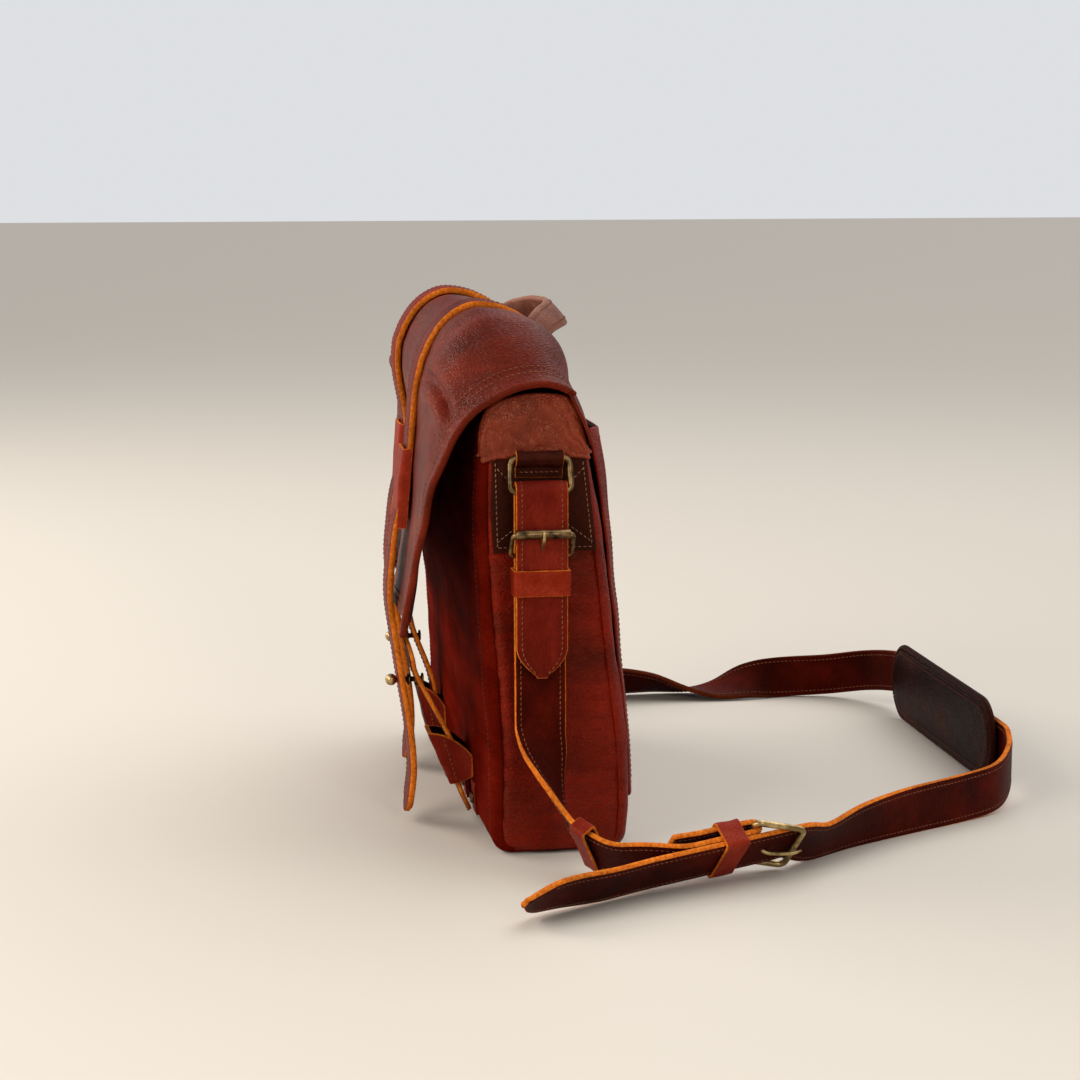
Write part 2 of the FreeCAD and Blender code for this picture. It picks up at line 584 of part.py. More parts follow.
def long_stations():
    w = STRAP_W
    tip = [leaning(334, -48, (-26, 32), 45, 18.5, 7), leaning(322, -34, (-26, 32), 45, 17, 24),
           leaning(310, -17, (-22, 32), 43, 15, w), leaning(297, 8, (-14, 32), LEAN, 14, w)]
    straight = [(at(s), ACROSS, w) for s in (-76, -62, -38, -18, 0, 16, 34)]
    bend = [leaning(224, 160, (-22, 32), 34), leaning(196, 194, (-24, 32), 20), leaning(168, 236, (-18, 32), 6),
            leaning(141, 284, (-18, 34), 0, 16.8), leaning(123, 313, (-22, 22), 0, 19),
            leaning(99, 330, (-30, 12), 0, 25), leaning(72, 338.6, (-30, 4), 0, 30)]
    pad = [(V(x, 340, 31), UP, w) for x in (50, 0, -60, -120, -192)]
    away = [leaning(-214, 336.5, (-30, -6), 0, 29.5), leaning(-238, 322, (-20, -18), 0, 25),
            leaning(-256, 296, (-12, -28), 0, 19), leaning(-264, 262, (-3, -32), 12),
            leaning(-266, 232, (0, -32), 45, 13.5), leaning(-268, 205, (-3, -32), 78, 6.5),
            leaning(-272, 180, (-5, -32), 104, 6.5), leaning(-276, 150, (-3, -32), 126, 12),
            leaning(-275, 118, (5, -32), 140, 14.5), leaning(-264, 84, (14, -30), 152, 16),
            leaning(-244, 50, (22, -26), 164, 17.2)]
    x = RING_LOW[0] - FOLD_IN + 0.2 + STRAP_T / 2
    rise = [(V(-220, 20, 24), V(0, -0.35, -0.95), w), (V(-202, 0, 39), V(0, -0.75, -0.65), w),
            (V(-190, -12, 62), V(0, -0.97, -0.25), w), (V(-x - 0.4, STRAP_Y, 82), V(0, -1, 0), w),
            (V(-x, STRAP_Y, PIVOT_Z - 21.5), V(0, -1, 0), w)]
    return tip + straight + bend + pad + away + rise


def strap_long():
    """Pointed tail, past the buckle, round behind the pad and up to the far pivot."""
    strap = ribbon(long_stations()).fuse(pivot_disc(-1))
    strap = strap.cut(block(0.8, 11.5, -3, 3, -2.3, 2.3))
    for s in (-32, -52):
        hole = Part.makeCylinder(2.0, 8, at(s, -4), FACE)
        strap = strap.cut(hole)
    return strap.removeSplitter()


def buckle():
    """Brass wire frame: bar in the folded strap, two sides, far bar over the long strap."""
    half = 19.7
    s, n = FAR_BAR
    loop = [at(0, BAR_OFF, 0), at(0, BAR_OFF, -half), at(s, n, -half), at(s, n, half), at(0, BAR_OFF, half),
            at(0, BAR_OFF, 0)]
    return tube(loop, 2.0)


def buckle_prong():
    eye = Part.makeCylinder(3.6, 4.2, at(0, BAR_OFF, -2.1), ACROSS)
    points = [at(2.2, BAR_OFF + 2.2), at(6.0, -2.5), at(9.2, 3.3), at(27, 8.2), at(34, 7.6)]
    wire = tube(points, 1.3).fuse(Part.makeSphere(1.3, points[-1]))
    hole = Part.makeCylinder(2.06, 8, at(0, BAR_OFF, -4), ACROSS)
    return eye.fuse(wire).cut(hole).removeSplitter()


def fixed_keeper():
    """Leather keeper round the long strap and both layers of the short one."""
    n0 = FOLDED_OFF - STRAP_T / 2 - 0.4
    n1 = STRAP_T / 2 + 0.4
    half = STRAP_W / 2 + 0.4
    whole = block(-26, -10, n0 - 1.9, n1 + 1.9, -half - 1.9, half + 1.9)
    return whole.cut(block(-27, -9, n0, n1, -half, half))


def loose_keeper():
    """Leather keeper, free on the short strap where it reaches the floor."""
    run = unit(LOOSE_RUN)
    side = unit(LOOSE_ACROSS - run * LOOSE_ACROSS.dot(run))
    out = unit(run.cross(side))

    def ring_block(length, thick, width):
        a = LOOSE_AT - run * (length / 2) - out * (thick / 2) - side * (width / 2)
        corners = [a, a + run * length, a + run * length + out * thick, a + out * thick]
        return Part.Face(Part.makePolygon(corners + corners[:1])).extrude(side * width)

    return ring_block(13, 11.4, 40.4).cut(ring_block(15, 7.8, 36.8))


def shoulder_pad():
    """Long soft pad on the inside of the strap with two loops round the strap."""
    y0, y1 = PAD_Y
    pad = box(*PAD_X, y0, y1, PAD_Z - PAD_R, PAD_Z + PAD_R)
    for x in PAD_X:
        pad = pad.fuse(Part.makeCylinder(PAD_R, y1 - y0, V(x, y0, PAD_Z), V(0, 1, 0)))
    pad = pad.removeSplitter()
    for x in PAD_LOOP_X:
        ring = box(x - 9, x + 9, y1, y1 + 7.8, PAD_Z - 19.4, PAD_Z + 19.4)
        pad = pad.fuse(ring.cut(box(x - 10, x + 10, y1, y1 + 5.3, PAD_Z - 16.9, PAD_Z + 16.9)))
    return pad.removeSplitter()


def handle_tabs():
    """Leather tabs sewn to the flap under the two ends of the handle."""
    run = band(inward(FLAP_TOP_MID, -1.6), inward(FLAP_TOP_MID, -0.2), 52, 78)
    tab = run.common(box(50, 80, -10.6, 6, 320, 345))
    return Part.makeCompound([tab, mirrored(tab)])


def main():
    os.makedirs("parts", exist_ok=True)
    panels()
    save_pair("gusset", gusset())
    save_pair("gusset_cap", gusset_cap())
    save_pair("ring_patch", ring_patch())
    save_pair("ring_sleeve", ring_sleeve())
    save_pair("strap_ring", strap_ring())
    base_board()
    lining()
    insert_and_dividers()
    back_pocket()
    flap()
    for name, make in (("closure_strap_top", closure_top), ("closure_strap_front", closure_front),
                       ("closure_strap_tail", closure_tail), ("flap_loop", flap_loop), ("stud_tab", stud_tab),
                       ("ball_stud", ball_stud), ("tab_holder", tab_holder)):
        save(name + "_near", make(1))
        save(name + "_far", make(-1))
    save("holder_rivets", holder_rivets())
    save("carry_handle", carry_handle())
    save("handle_tabs", handle_tabs())
    save_pair("strap_end", strap_end())
    save_pair("end_buckle", end_buckle())
    save_pair("end_roller", end_roller())
    save_pair("end_prong", end_prong())
    save_pair("end_keeper", end_keeper())
    save("strap_short", strap_short())
    save("strap_long", strap_long())
    save("strap_buckle", buckle())
    save("strap_prong", buckle_prong())
    save("strap_keeper", fixed_keeper())
    save("strap_keeper_loose", loose_keeper())
    save("shoulder_pad", shoulder_pad())


main()
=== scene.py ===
import math

import bpy
import numpy as np
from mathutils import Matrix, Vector


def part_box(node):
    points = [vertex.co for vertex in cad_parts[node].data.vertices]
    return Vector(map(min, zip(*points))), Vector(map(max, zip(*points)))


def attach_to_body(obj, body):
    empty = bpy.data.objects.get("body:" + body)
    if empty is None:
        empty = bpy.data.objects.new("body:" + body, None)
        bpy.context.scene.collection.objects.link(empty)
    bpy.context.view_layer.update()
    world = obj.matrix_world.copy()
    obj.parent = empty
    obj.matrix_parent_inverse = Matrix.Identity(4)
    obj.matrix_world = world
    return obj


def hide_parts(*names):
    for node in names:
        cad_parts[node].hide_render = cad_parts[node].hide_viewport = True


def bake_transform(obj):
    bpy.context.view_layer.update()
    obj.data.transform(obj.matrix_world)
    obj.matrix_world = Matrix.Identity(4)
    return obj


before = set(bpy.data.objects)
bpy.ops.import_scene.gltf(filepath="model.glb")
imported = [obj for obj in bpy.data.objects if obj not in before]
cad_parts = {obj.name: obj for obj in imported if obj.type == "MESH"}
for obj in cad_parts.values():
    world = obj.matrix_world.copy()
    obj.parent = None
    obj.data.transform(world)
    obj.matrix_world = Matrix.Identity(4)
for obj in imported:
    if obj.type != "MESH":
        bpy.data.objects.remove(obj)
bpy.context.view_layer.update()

MM = 0.001
UP = np.array((0.0, 0.0, 1.0))
rng = np.random.default_rng(7)


# ---------------------------------------------------------------- vectors and curves, mm
def vec(*v):
    return np.array(v, float)


def unit(a):
    a = np.asarray(a, float)
    return a / np.maximum(np.linalg.norm(a, axis=-1, keepdims=True), 1e-9)


def curve(points, steps=8):
    """Catmull-Rom curve through the points."""
    p = np.asarray(points, float)
    p = np.vstack([2 * p[0] - p[1], p, 2 * p[-1] - p[-2]])
    out = []
    for i in range(1, len(p) - 2):
        a, b, c, d = p[i - 1], p[i], p[i + 1], p[i + 2]
        for k in range(steps):
            t = k / steps
            out.append(0.5 * (2 * b + (c - a) * t + (2 * a - 5 * b + 4 * c - d) * t ** 2
                              + (3 * b - a - 3 * c + d) * t ** 3))
    out.append(p[-2])
    return np.array(out)


def even(points, spacing):
    """The same path with points at an even spacing."""
    p = np.asarray(points, float)
    s = np.concatenate([[0], np.cumsum(np.linalg.norm(np.diff(p[:, :3], axis=0), axis=1))])
    n = max(2, int(round(s[-1] / spacing)) + 1)
    at_s = np.linspace(0, s[-1], n)
    return np.stack([np.interp(at_s, s, p[:, j]) for j in range(p.shape[1])], 1)


def ease(t):
    t = np.clip(t, 0, 1)
    return t * t * (3 - 2 * t)


def ripple(p, size, seed, waves=14):
    """Smooth random value, about -1 to 1, at points p for bumps of a given size in mm."""
    r = np.random.default_rng(seed)
    total = np.zeros(p.shape[:-1])
    for _ in range(waves):
        direction = unit(r.normal(size=3)) * (2 * math.pi / (size * r.uniform(0.7, 1.6)))
        total += np.sin(p @ direction + r.uniform(0, 6.3))
    return total / math.sqrt(waves) * 0.8


def grid_normals(g):
    du = np.gradient(g, axis=0)
    dv = np.gradient(g, axis=1)
    return unit(np.cross(du, dv))


def facing(g, out):
    """The grid with its normals on the side of a given direction."""
    n = grid_normals(g)
    return g if np.sum(n @ vec(*out)) > 0 else g[:, ::-1]


# ---------------------------------------------------------------- pieces
def attach(obj, how):
    if isinstance(how, str):
        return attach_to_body(obj, how)
    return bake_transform(obj)


def piece(name, verts, faces, how, mats, index=None, sharp=True, replaces=(), slot=None):
    mesh = bpy.data.meshes.new(name)
    mesh.from_pydata((np.asarray(verts) * MM).tolist(), [], faces)
    for m in mats:
        mesh.materials.append(m)
    if index is not None:
        mesh.polygons.foreach_set("material_index", np.asarray(index, np.int32))
    mesh.polygons.foreach_set("use_smooth", [True] * len(mesh.polygons))
    mesh.validate()
    mesh.update()
    if sharp and index is not None:
        mark_sharp(mesh)
    obj = bpy.data.objects.new(name, mesh)
    bpy.context.scene.collection.objects.link(obj)
    if how is not None:
        attach(obj, how)
    if replaces:
        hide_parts(*replaces)
    return obj


def mark_sharp(mesh):
    """Edges between two materials stay crisp."""
    found = {}
    for f in mesh.polygons:
        for key in f.edge_keys:
            found.setdefault(key, set()).add(f.material_index)
    for e in mesh.edges:
        if len(found.get(e.key, ())) > 1:
            e.use_edge_sharp = True


CUT = ((0.06, 0.12), (0.5, 0.17), (0.94, 0.12))                    # raw cut edge
ROLLED = ((0.08, 0.22), (0.28, 0.42), (0.5, 0.5), (0.72, 0.42), (0.92, 0.22))    # folded edge


def sheet(name, g, t, how, face, back=None, edge=None, rim=CUT, closed=False, **more):
    """A closed sheet of thickness t below grid g; the grid's normals point out of its good side."""
    nu, nv = g.shape[:2]
    n = grid_normals(g)
    if closed:
        n[0] = n[-1] = unit(n[0] + n[-1])
    inner = g - n * t
    verts = [g.reshape(-1, 3), inner.reshape(-1, 3)]
    count = nu * nv
    idx = np.arange(count).reshape(nu, nv)
    faces, index = [], []
    last_u = nu - 1
    for i in range(last_u):
        for j in range(nv - 1):
            quad = (idx[i, j], idx[i + 1, j], idx[i + 1, j + 1], idx[i, j + 1])
            if closed and i == last_u - 1:
                quad = (idx[i, j], idx[0, j], idx[0, j + 1], idx[i, j + 1])
            faces.append(quad)
            index.append(0)
            faces.append(tuple(q + count for q in quad[::-1]))
            index.append(1)
    if closed:
        loops = [([idx[i, 0] for i in range(last_u)], (0, 1)), ([idx[i, nv - 1] for i in range(last_u)][::-1],
                                                                 (0, -1))]
    else:
        loop = [idx[i, 0] for i in range(nu)] + [idx[-1, j] for j in range(1, nv)]
        loop += [idx[i, -1] for i in range(nu - 2, -1, -1)] + [idx[0, j] for j in range(nv - 2, 0, -1)]
        loops = [(loop, None)]
    total = 2 * count
    flat, flat_n = g.reshape(-1, 3), n.reshape(-1, 3)
    for loop, _ in loops:
        b, nb = flat[loop], flat_n[loop]
        tangent = unit(np.roll(b, -1, 0) - np.roll(b, 1, 0))
        out = unit(np.cross(tangent, nb))
        rings = [np.array(loop)]
        for depth, reach in rim:
            ring = b - nb * t * depth + out * t * reach
            verts.append(ring)
            rings.append(total + np.arange(len(loop)))
            total += len(loop)
        rings.append(np.array(loop) + count)
        for r0, r1 in zip(rings, rings[1:]):
            for k in range(len(loop)):
                m = (k + 1) % len(loop)
                faces.append((r0[m], r0[k], r1[k], r1[m]))
                index.append(2)
    verts = np.vstack(verts)
    mats = [face, back or face, edge or face]
    return piece(name, verts, [tuple(int(q) for q in f) for f in faces], how, mats, index, **more)


def strap_grid(mid, across, width, cols=9, dome=0.35):
    """Grid over a strap from its middle line, width direction and width."""
    run = unit(np.gradient(mid, axis=0))
    side = unit(across - run * np.sum(across * run, 1, keepdims=True))
    out = np.cross(run, side)
    v = np.linspace(-1, 1, cols)
    width = np.broadcast_to(np.asarray(width, float), (len(mid),))
    g = mid[:, None] + side[:, None] * (v[None, :, None] * width[:, None, None] / 2)
    return g - out[:, None] * (dome * np.abs(v) ** 6)[None, :, None]


def line_on(g, share, normals=None):
    """Path along a grid at a share (0 to 1) of its width, with the grid's normals."""
    n = grid_normals(g) if normals is None else normals
    pos = share * (g.shape[1] - 1)
    j = int(min(math.floor(pos), g.shape[1] - 2))
    f = pos - j
    return g[:, j] * (1 - f) + g[:, j + 1] * f, unit(n[:, j] * (1 - f) + n[:, j + 1] * f)


def stitches(name, runs, how, mat, pitch=3.4, length=2.3, radius=0.34, slant=0.14, **more):
    """Rows of separate thread stitches that lie half sunk in the leather."""
    verts, faces = [], []
    ring = [(math.cos(a), math.sin(a)) for a in np.linspace(0, 2 * math.pi, 7)[:-1]]
    shape = ((-0.5, 0.25), (-0.42, 0.8), (0, 1.0), (0.42, 0.8), (0.5, 0.25))
    total = 0
    for path, normal in runs:
        both = even(np.hstack([path, normal]), pitch)
        p, n = both[:, :3], unit(both[:, 3:])
        mid = (p[1:] + p[:-1]) / 2
        t = unit(p[1:] - p[:-1])
        nn = unit(n[1:] + n[:-1])
        s = np.cross(t, nn)
        t = unit(t + s * slant)
        s = unit(np.cross(t, nn))
        for m, a, b, c in zip(mid, t, s, nn):
            for along, r in shape:
                drop = -0.35 * radius if abs(along) > 0.45 else 0.25 * radius
                for ca, sa in ring:
                    verts.append(m + a * along * length + (b * ca * 1.15 + c * sa) * radius * r + c * drop)
            for k in range(len(shape) - 1):
                for q in range(6):
                    w = (q + 1) % 6
                    faces.append((total + k * 6 + q, total + k * 6 + w, total + k * 6 + 6 + w, total + k * 6 + 6 + q))
            faces.append(tuple(total + q for q in range(5, -1, -1)))
            faces.append(tuple(total + 24 + q for q in range(6)))
            total += 30
    return piece(name, verts, faces, how, [mat], **more)


def tube(name, path, radius, how, mat, closed=False, sides=14, **more):
    """A round wire; radius may change along it."""
    p = np.asarray(path, float)
    if closed:
        t = unit(np.roll(p, -1, 0) - np.roll(p, 1, 0))
    else:
        t = unit(np.gradient(p, axis=0))
    r = np.broadcast_to(np.asarray(radius, float), (len(p),))
    ref = unit(np.cross(t[0], (0.31, 0.52, 0.79)))
    verts = []
    for i in range(len(p)):
        ref = unit(ref - t[i] * (ref @ t[i]))
        other = np.cross(t[i], ref)
        for k in range(sides):
            a = 2 * math.pi * k / sides
            verts.append(p[i] + (ref * math.cos(a) + other * math.sin(a)) * r[i])
    faces = []
    n = len(p)
    turn = 0
    if closed:
        end = [np.linalg.norm(verts[(n - 1) * sides] - verts[k]) for k in range(sides)]
        turn = int(np.argmin(end))
    for i in range(n if closed else n - 1):
        nxt = (i + 1) % n
        shift = turn if closed and i == n - 1 else 0
        for k in range(sides):
            m = (k + 1) % sides
            faces.append((i * sides + k, i * sides + m, nxt * sides + (m + shift) % sides,
                          nxt * sides + (k + shift) % sides))
    if not closed:
        faces.append(tuple(range(sides - 1, -1, -1)))
        faces.append(tuple((n - 1) * sides + k for k in range(sides)))
    return piece(name, verts, faces, how, [mat], **more)


def rounded_loop(corners, radius, steps=7):
    """Closed path through corners with each corner rounded."""
    c = np.asarray(corners, float)
    out = []
    for i in range(len(c)):
        a, b, d = c[i - 1], c[i], c[(i + 1) % len(c)]
        p, q = b + unit(a - b) * radius, b + unit(d - b) * radius
        for k in range(steps + 1):
            t = k / steps
            out.append((1 - t) ** 2 * p + 2 * t * (1 - t) * b + t ** 2 * q)
    loop = np.array(out)
    return even(np.vstack([loop, loop[:1]]), 1.1)[:-1]


def lathe(name, profile, origin, axis, how, mat, sides=28, **more):
    """A turned part: profile of (along, radius) about an axis."""
    axis = unit(vec(*axis))
    ref = unit(np.cross(axis, (0.3, 0.2, 0.93)))
    other = np.cross(axis, ref)
    verts, faces = [], []
    for along, r in profile:
        for k in range(sides):
            a = 2 * math.pi * k / sides
            verts.append(vec(*origin) + axis * along + (ref * math.cos(a) + other * math.sin(a)) * r)
    for i in range(len(profile) - 1):
        for k in range(sides):
            m = (k + 1) % sides
            faces.append((i * sides + k, i * sides + m, (i + 1) * sides + m, (i + 1) * sides + k))
    faces.append(tuple(range(sides - 1, -1, -1)))
    faces.append(tuple((len(profile) - 1) * sides + k for k in range(sides)))
    return piece(name, verts, faces, how, [mat], **more)


def cut_holes(obj, cutters):
    """Cuts prisms, each given as (centre, axis, side, half across, half along), out of a piece."""
    verts, faces = [], []
    for centre, axis, side, a, b in cutters:
        axis, side = unit(vec(*axis)), unit(vec(*side))
        other = np.cross(axis, side)
        base = len(verts)
        n = 16
        for level in (-7, 7):
            for k in range(n):
                ang = 2 * math.pi * k / n
                stretch = (b - a) * (1 if math.sin(ang) > 0 else -1)
                verts.append(vec(*centre) + axis * level + other * math.cos(ang) * a
                             + side * (math.sin(ang) * a + (stretch if b > a else 0)))
        for k in range(n):
            m = (k + 1) % n
            faces.append((base + k, base + m, base + n + m, base + n + k))
        faces.append(tuple(base + k for k in range(n - 1, -1, -1)))
        faces.append(tuple(base + n + k for k in range(n)))
    tool = piece("cutter", verts, faces, None, [])
    mod = obj.modifiers.new("holes", "BOOLEAN")
    mod.object, mod.operation, mod.solver = tool, "DIFFERENCE", "EXACT"
    deps = bpy.context.evaluated_depsgraph_get()
    obj.data = bpy.data.meshes.new_from_object(obj.evaluated_get(deps))
    obj.modifiers.clear()
    bpy.data.objects.remove(tool)
    return obj


# ---------------------------------------------------------------- materials
def node(tree, kind, **values):
    n = tree.nodes.new(kind)
    for key, value in values.items():
        if key in n.inputs:
            n.inputs[key].default_value = value
        else:
            setattr(n, key.lower(), value)
    return n


def ramp(tree, source, stops):
    n = tree.nodes.new("ShaderNodeValToRGB")
    el = n.color_ramp.elements
    while len(el) < len(stops):
        el.new(0.5)
    for e, (pos, colour) in zip(el, stops):
        e.position = pos
        e.color = (*colour, 1) if len(colour) == 3 else (colour[0],) * 3 + (1,)
    tree.links.new(source, n.inputs[0])
    return n.outputs[0]


def srgb(r, g, b):
    return tuple(((c / 255 + 0.055) / 1.055) ** 2.4 if c > 10 else c / 255 / 12.92 for c in (r, g, b))


def blank(name):
    m = bpy.data.materials.new(name)
    m.use_nodes = True
    t = m.node_tree
    return m, t, t.nodes["Principled BSDF"]


def mixed(t, kind, fac, a, b):
    n = t.nodes.new("ShaderNodeMix")
    n.data_type, n.blend_type = "RGBA", kind
    for key, value in ((0, fac), (6, a), (7, b)):
        if isinstance(value, (tuple, float, int)):
            n.inputs[key].default_value = (*value, 1) if isinstance(value, tuple) else value
        else:
            t.links.new(value, n.inputs[key])
    return n.outputs[2]


def leather(name, base, deep, pale, rough=(0.36, 0.6), grain=0.5, cell=620, wear=0.55, stretch=(1, 1, 1),
            sheen=0.0, spec=0.12):
    """Oiled full-grain leather: pebble grain, cloudy colour, rubbed high spots."""
    m, t, bsdf = blank(name)
    link = t.links.new
    coord = node(t, "ShaderNodeTexCoord")
    mapping = node(t, "ShaderNodeMapping", Scale=stretch)
    link(coord.outputs["Object"], mapping.inputs[0])
    where = mapping.outputs[0]
    warp = node(t, "ShaderNodeTexNoise", Scale=160.0, Detail=2.0)
    link(where, warp.inputs[0])
    shifted = node(t, "ShaderNodeVectorMath", operation="MULTIPLY_ADD")
    shifted.inputs[1].default_value = (0.0022,) * 3
    link(warp.outputs["Color"], shifted.inputs[0])
    link(where, shifted.inputs[2])
    pebble = node(t, "ShaderNodeTexVoronoi", Scale=float(cell), feature="DISTANCE_TO_EDGE")
    link(shifted.outputs[0], pebble.inputs[0])
    cloud = node(t, "ShaderNodeTexNoise", Scale=22.0, Detail=5.0, Roughness=0.62)
    link(where, cloud.inputs[0])
    fine = node(t, "ShaderNodeTexNoise", Scale=420.0, Detail=4.0, Roughness=0.65)
    link(where, fine.inputs[0])
    tone = ramp(t, cloud.outputs[0], [(0.32, deep), (0.52, base), (0.74, pale)])
    speck = ramp(t, fine.outputs[0], [(0.35, (0.72,)), (0.62, (1.12,))])
    tone = mixed(t, "MULTIPLY", 0.55, tone, speck)
    groove = ramp(t, pebble.outputs[0], [(0.0, (0.6,)), (0.16, (1.0,))])
    tone = mixed(t, "MULTIPLY", 0.5, tone, groove)
    geo = node(t, "ShaderNodeNewGeometry")
    edge = ramp(t, geo.outputs["Pointiness"], [(0.5, (0.0,)), (0.6, (1.0,))])
    scaled = node(t, "ShaderNodeMath", operation="MULTIPLY")
    scaled.inputs[1].default_value = wear
    link(edge, scaled.inputs[0])
    tone = mixed(t, "MIX", scaled.outputs[0], tone, pale)
    link(tone, bsdf.inputs["Base Color"])
    gloss = node(t, "ShaderNodeMapRange")
    gloss.inputs["To Min"].default_value = rough[0]
    gloss.inputs["To Max"].default_value = rough[1]
    link(cloud.outputs[0], gloss.inputs[0])
    link(gloss.outputs[0], bsdf.inputs["Roughness"])
    bsdf.inputs["Specular IOR Level"].default_value = spec
    bsdf.inputs["Specular Tint"].default_value = (1.0, 0.48, 0.28, 1)
    bsdf.inputs["Sheen Weight"].default_value = sheen
    bsdf.inputs["Sheen Roughness"].default_value = 0.5
    crease = node(t, "ShaderNodeTexNoise", Scale=75.0, Detail=3.0)
    link(where, crease.inputs[0])
    height = pebble.outputs[0]
    normal = None
    for source, strength, distance in ((crease.outputs[0], 0.35, 0.0022), (height, grain, 0.0011),
                                       (fine.outputs[0], 0.22, 0.0005)):
        b = node(t, "ShaderNodeBump")
        b.inputs["Strength"].default_value = strength
        b.inputs["Distance"].default_value = distance
        link(source, b.inputs["Height"])
        if normal:
            link(normal, b.inputs["Normal"])
        normal = b.outputs[0]
    link(normal, bsdf.inputs["Normal"])
    return m


def fibre(name, base, deep, pale, scale=260.0, rough=0.8, bump=0.5, stretch=(1, 1, 1), distance=0.0006):
    """Raw cut edge, thread, felt or board: noisy fibres with no gloss."""
    m, t, bsdf = blank(name)
    coord = node(t, "ShaderNodeTexCoord")
    mapping = node(t, "ShaderNodeMapping", Scale=stretch)
    t.links.new(coord.outputs["Object"], mapping.inputs[0])
    n1 = node(t, "ShaderNodeTexNoise", Scale=scale, Detail=5.0, Roughness=0.7)
    n2 = node(t, "ShaderNodeTexNoise", Scale=scale / 9, Detail=3.0)
    t.links.new(mapping.outputs[0], n1.inputs[0])
    t.links.new(mapping.outputs[0], n2.inputs[0])
    tone = ramp(t, n1.outputs[0], [(0.3, deep), (0.5, base), (0.7, pale)])
    broad = ramp(t, n2.outputs[0], [(0.35, (0.62,)), (0.62, (1.15,))])
    t.links.new(mixed(t, "MULTIPLY", 0.7, tone, broad), bsdf.inputs["Base Color"])
    bsdf.inputs["Roughness"].default_value = rough
    bsdf.inputs["Specular IOR Level"].default_value = 0.08
    b = node(t, "ShaderNodeBump")
    b.inputs["Strength"].default_value = bump
    b.inputs["Distance"].default_value = distance
    t.links.new(n1.outputs[0], b.inputs["Height"])
    t.links.new(b.outputs[0], bsdf.inputs["Normal"])
    return m


def shaded_along_x(name, source, x_from, x_to, share):
    """A copy of a material with painted shade: it grows darker along X, for a strap's edge that lies in shadow."""
    m = source.copy()
    m.name = name
    t = m.node_tree
    bsdf = t.nodes["Principled BSDF"]
    was = bsdf.inputs["Base Color"].links[0].from_socket
    coord = node(t, "ShaderNodeTexCoord")
    split = node(t, "ShaderNodeSeparateXYZ")
    t.links.new(coord.outputs["Object"], split.inputs[0])
    along = node(t, "ShaderNodeMapRange")
    along.inputs["From Min"].default_value = x_from * MM
    along.inputs["From Max"].default_value = x_to * MM
    t.links.new(split.outputs[0], along.inputs[0])
    t.links.new(mixed(t, "MULTIPLY", along.outputs[0], was, (share, share * 0.6, share * 0.6)),
                bsdf.inputs["Base Color"])
    return m


def cloth(name, base, pale, scale=900.0):
    """Plain woven lining."""
    m, t, bsdf = blank(name)
    coord = node(t, "ShaderNodeTexCoord")
    waves = []
    for direction in ("X", "Z"):
        w = node(t, "ShaderNodeTexWave", Scale=scale, Distortion=1.2)
        w.bands_direction = direction
        t.links.new(coord.outputs["Object"], w.inputs[0])
        waves.append(w)
    both = node(t, "ShaderNodeMath", operation="MULTIPLY")
    t.links.new(waves[0].outputs[1], both.inputs[0])
    t.links.new(waves[1].outputs[1], both.inputs[1])
    t.links.new(ramp(t, both.outputs[0], [(0.1, base), (0.9, pale)]), bsdf.inputs["Base Color"])
    bsdf.inputs["Roughness"].default_value = 0.85
    b = node(t, "ShaderNodeBump")
    b.inputs["Strength"].default_value = 0.4
    b.inputs["Distance"].default_value = 0.0004
    t.links.new(both.outputs[0], b.inputs["Height"])
    t.links.new(b.outputs[0], bsdf.inputs["Normal"])
    return m


def brass(name, bright, dark):
    """Antique brass: noisy clouds of dark and rubbed-bright metal."""
    m, t, bsdf = blank(name)
    coord = node(t, "ShaderNodeTexCoord")
    n = node(t, "ShaderNodeTexNoise", Scale=140.0, Detail=5.0, Roughness=0.6)
    scratch = node(t, "ShaderNodeTexNoise", Scale=900.0, Detail=2.0)
    t.links.new(coord.outputs["Object"], n.inputs[0])
    t.links.new(coord.outputs["Object"], scratch.inputs[0])
    t.links.new(ramp(t, n.outputs[0], [(0.38, dark), (0.66, bright)]), bsdf.inputs["Base Color"])
    bsdf.inputs["Metallic"].default_value = 1.0
    gloss = node(t, "ShaderNodeMapRange")
    gloss.inputs["To Min"].default_value = 0.22
    gloss.inputs["To Max"].default_value = 0.48
    t.links.new(n.outputs[0], gloss.inputs[0])
    t.links.new(gloss.outputs[0], bsdf.inputs["Roughness"])
    b = node(t, "ShaderNodeBump")
    b.inputs["Strength"].default_value = 0.15
    b.inputs["Distance"].default_value = 0.0003
    t.links.new(scratch.outputs[0], b.inputs["Height"])
    t.links.new(b.outputs[0], bsdf.inputs["Normal"])
    return m


BODY = leather("body_leather", srgb(118, 16, 4), srgb(84, 10, 2), srgb(144, 29, 9), stretch=(1, 0.5, 1.5),
               grain=0.9, wear=0.3, rough=(0.32, 0.5), spec=0.28)
# painted shade: the front panel is a darker copy of the body leather, for the shade under the flap
SHADED_PANEL = leather("panel_leather", srgb(88, 13, 4), srgb(60, 8, 2), srgb(110, 24, 8), stretch=(0.5, 1, 1.5),
                grain=0.6, wear=0.3, rough=(0.6, 0.75), spec=0.002)
FLAP = leather("flap_leather", srgb(98, 21, 6), srgb(70, 12, 3), srgb(126, 38, 16), stretch=(1, 0.35, 1.5),
               grain=0.8, wear=0.3, spec=0.2, rough=(0.36, 0.52))
# the cap leather is lighter than the body: partly its own tone, partly a painted highlight of the window light on it
CAP = leather("cap_leather", srgb(124, 38, 20), srgb(92, 22, 10), srgb(166, 76, 50), stretch=(1, 1, 0.8), cell=620,
              grain=0.5, spec=0.6, rough=(0.26, 0.38))
PATCH = leather("patch_leather", srgb(46, 12, 7), srgb(29, 7, 4), srgb(68, 24, 15), cell=520)
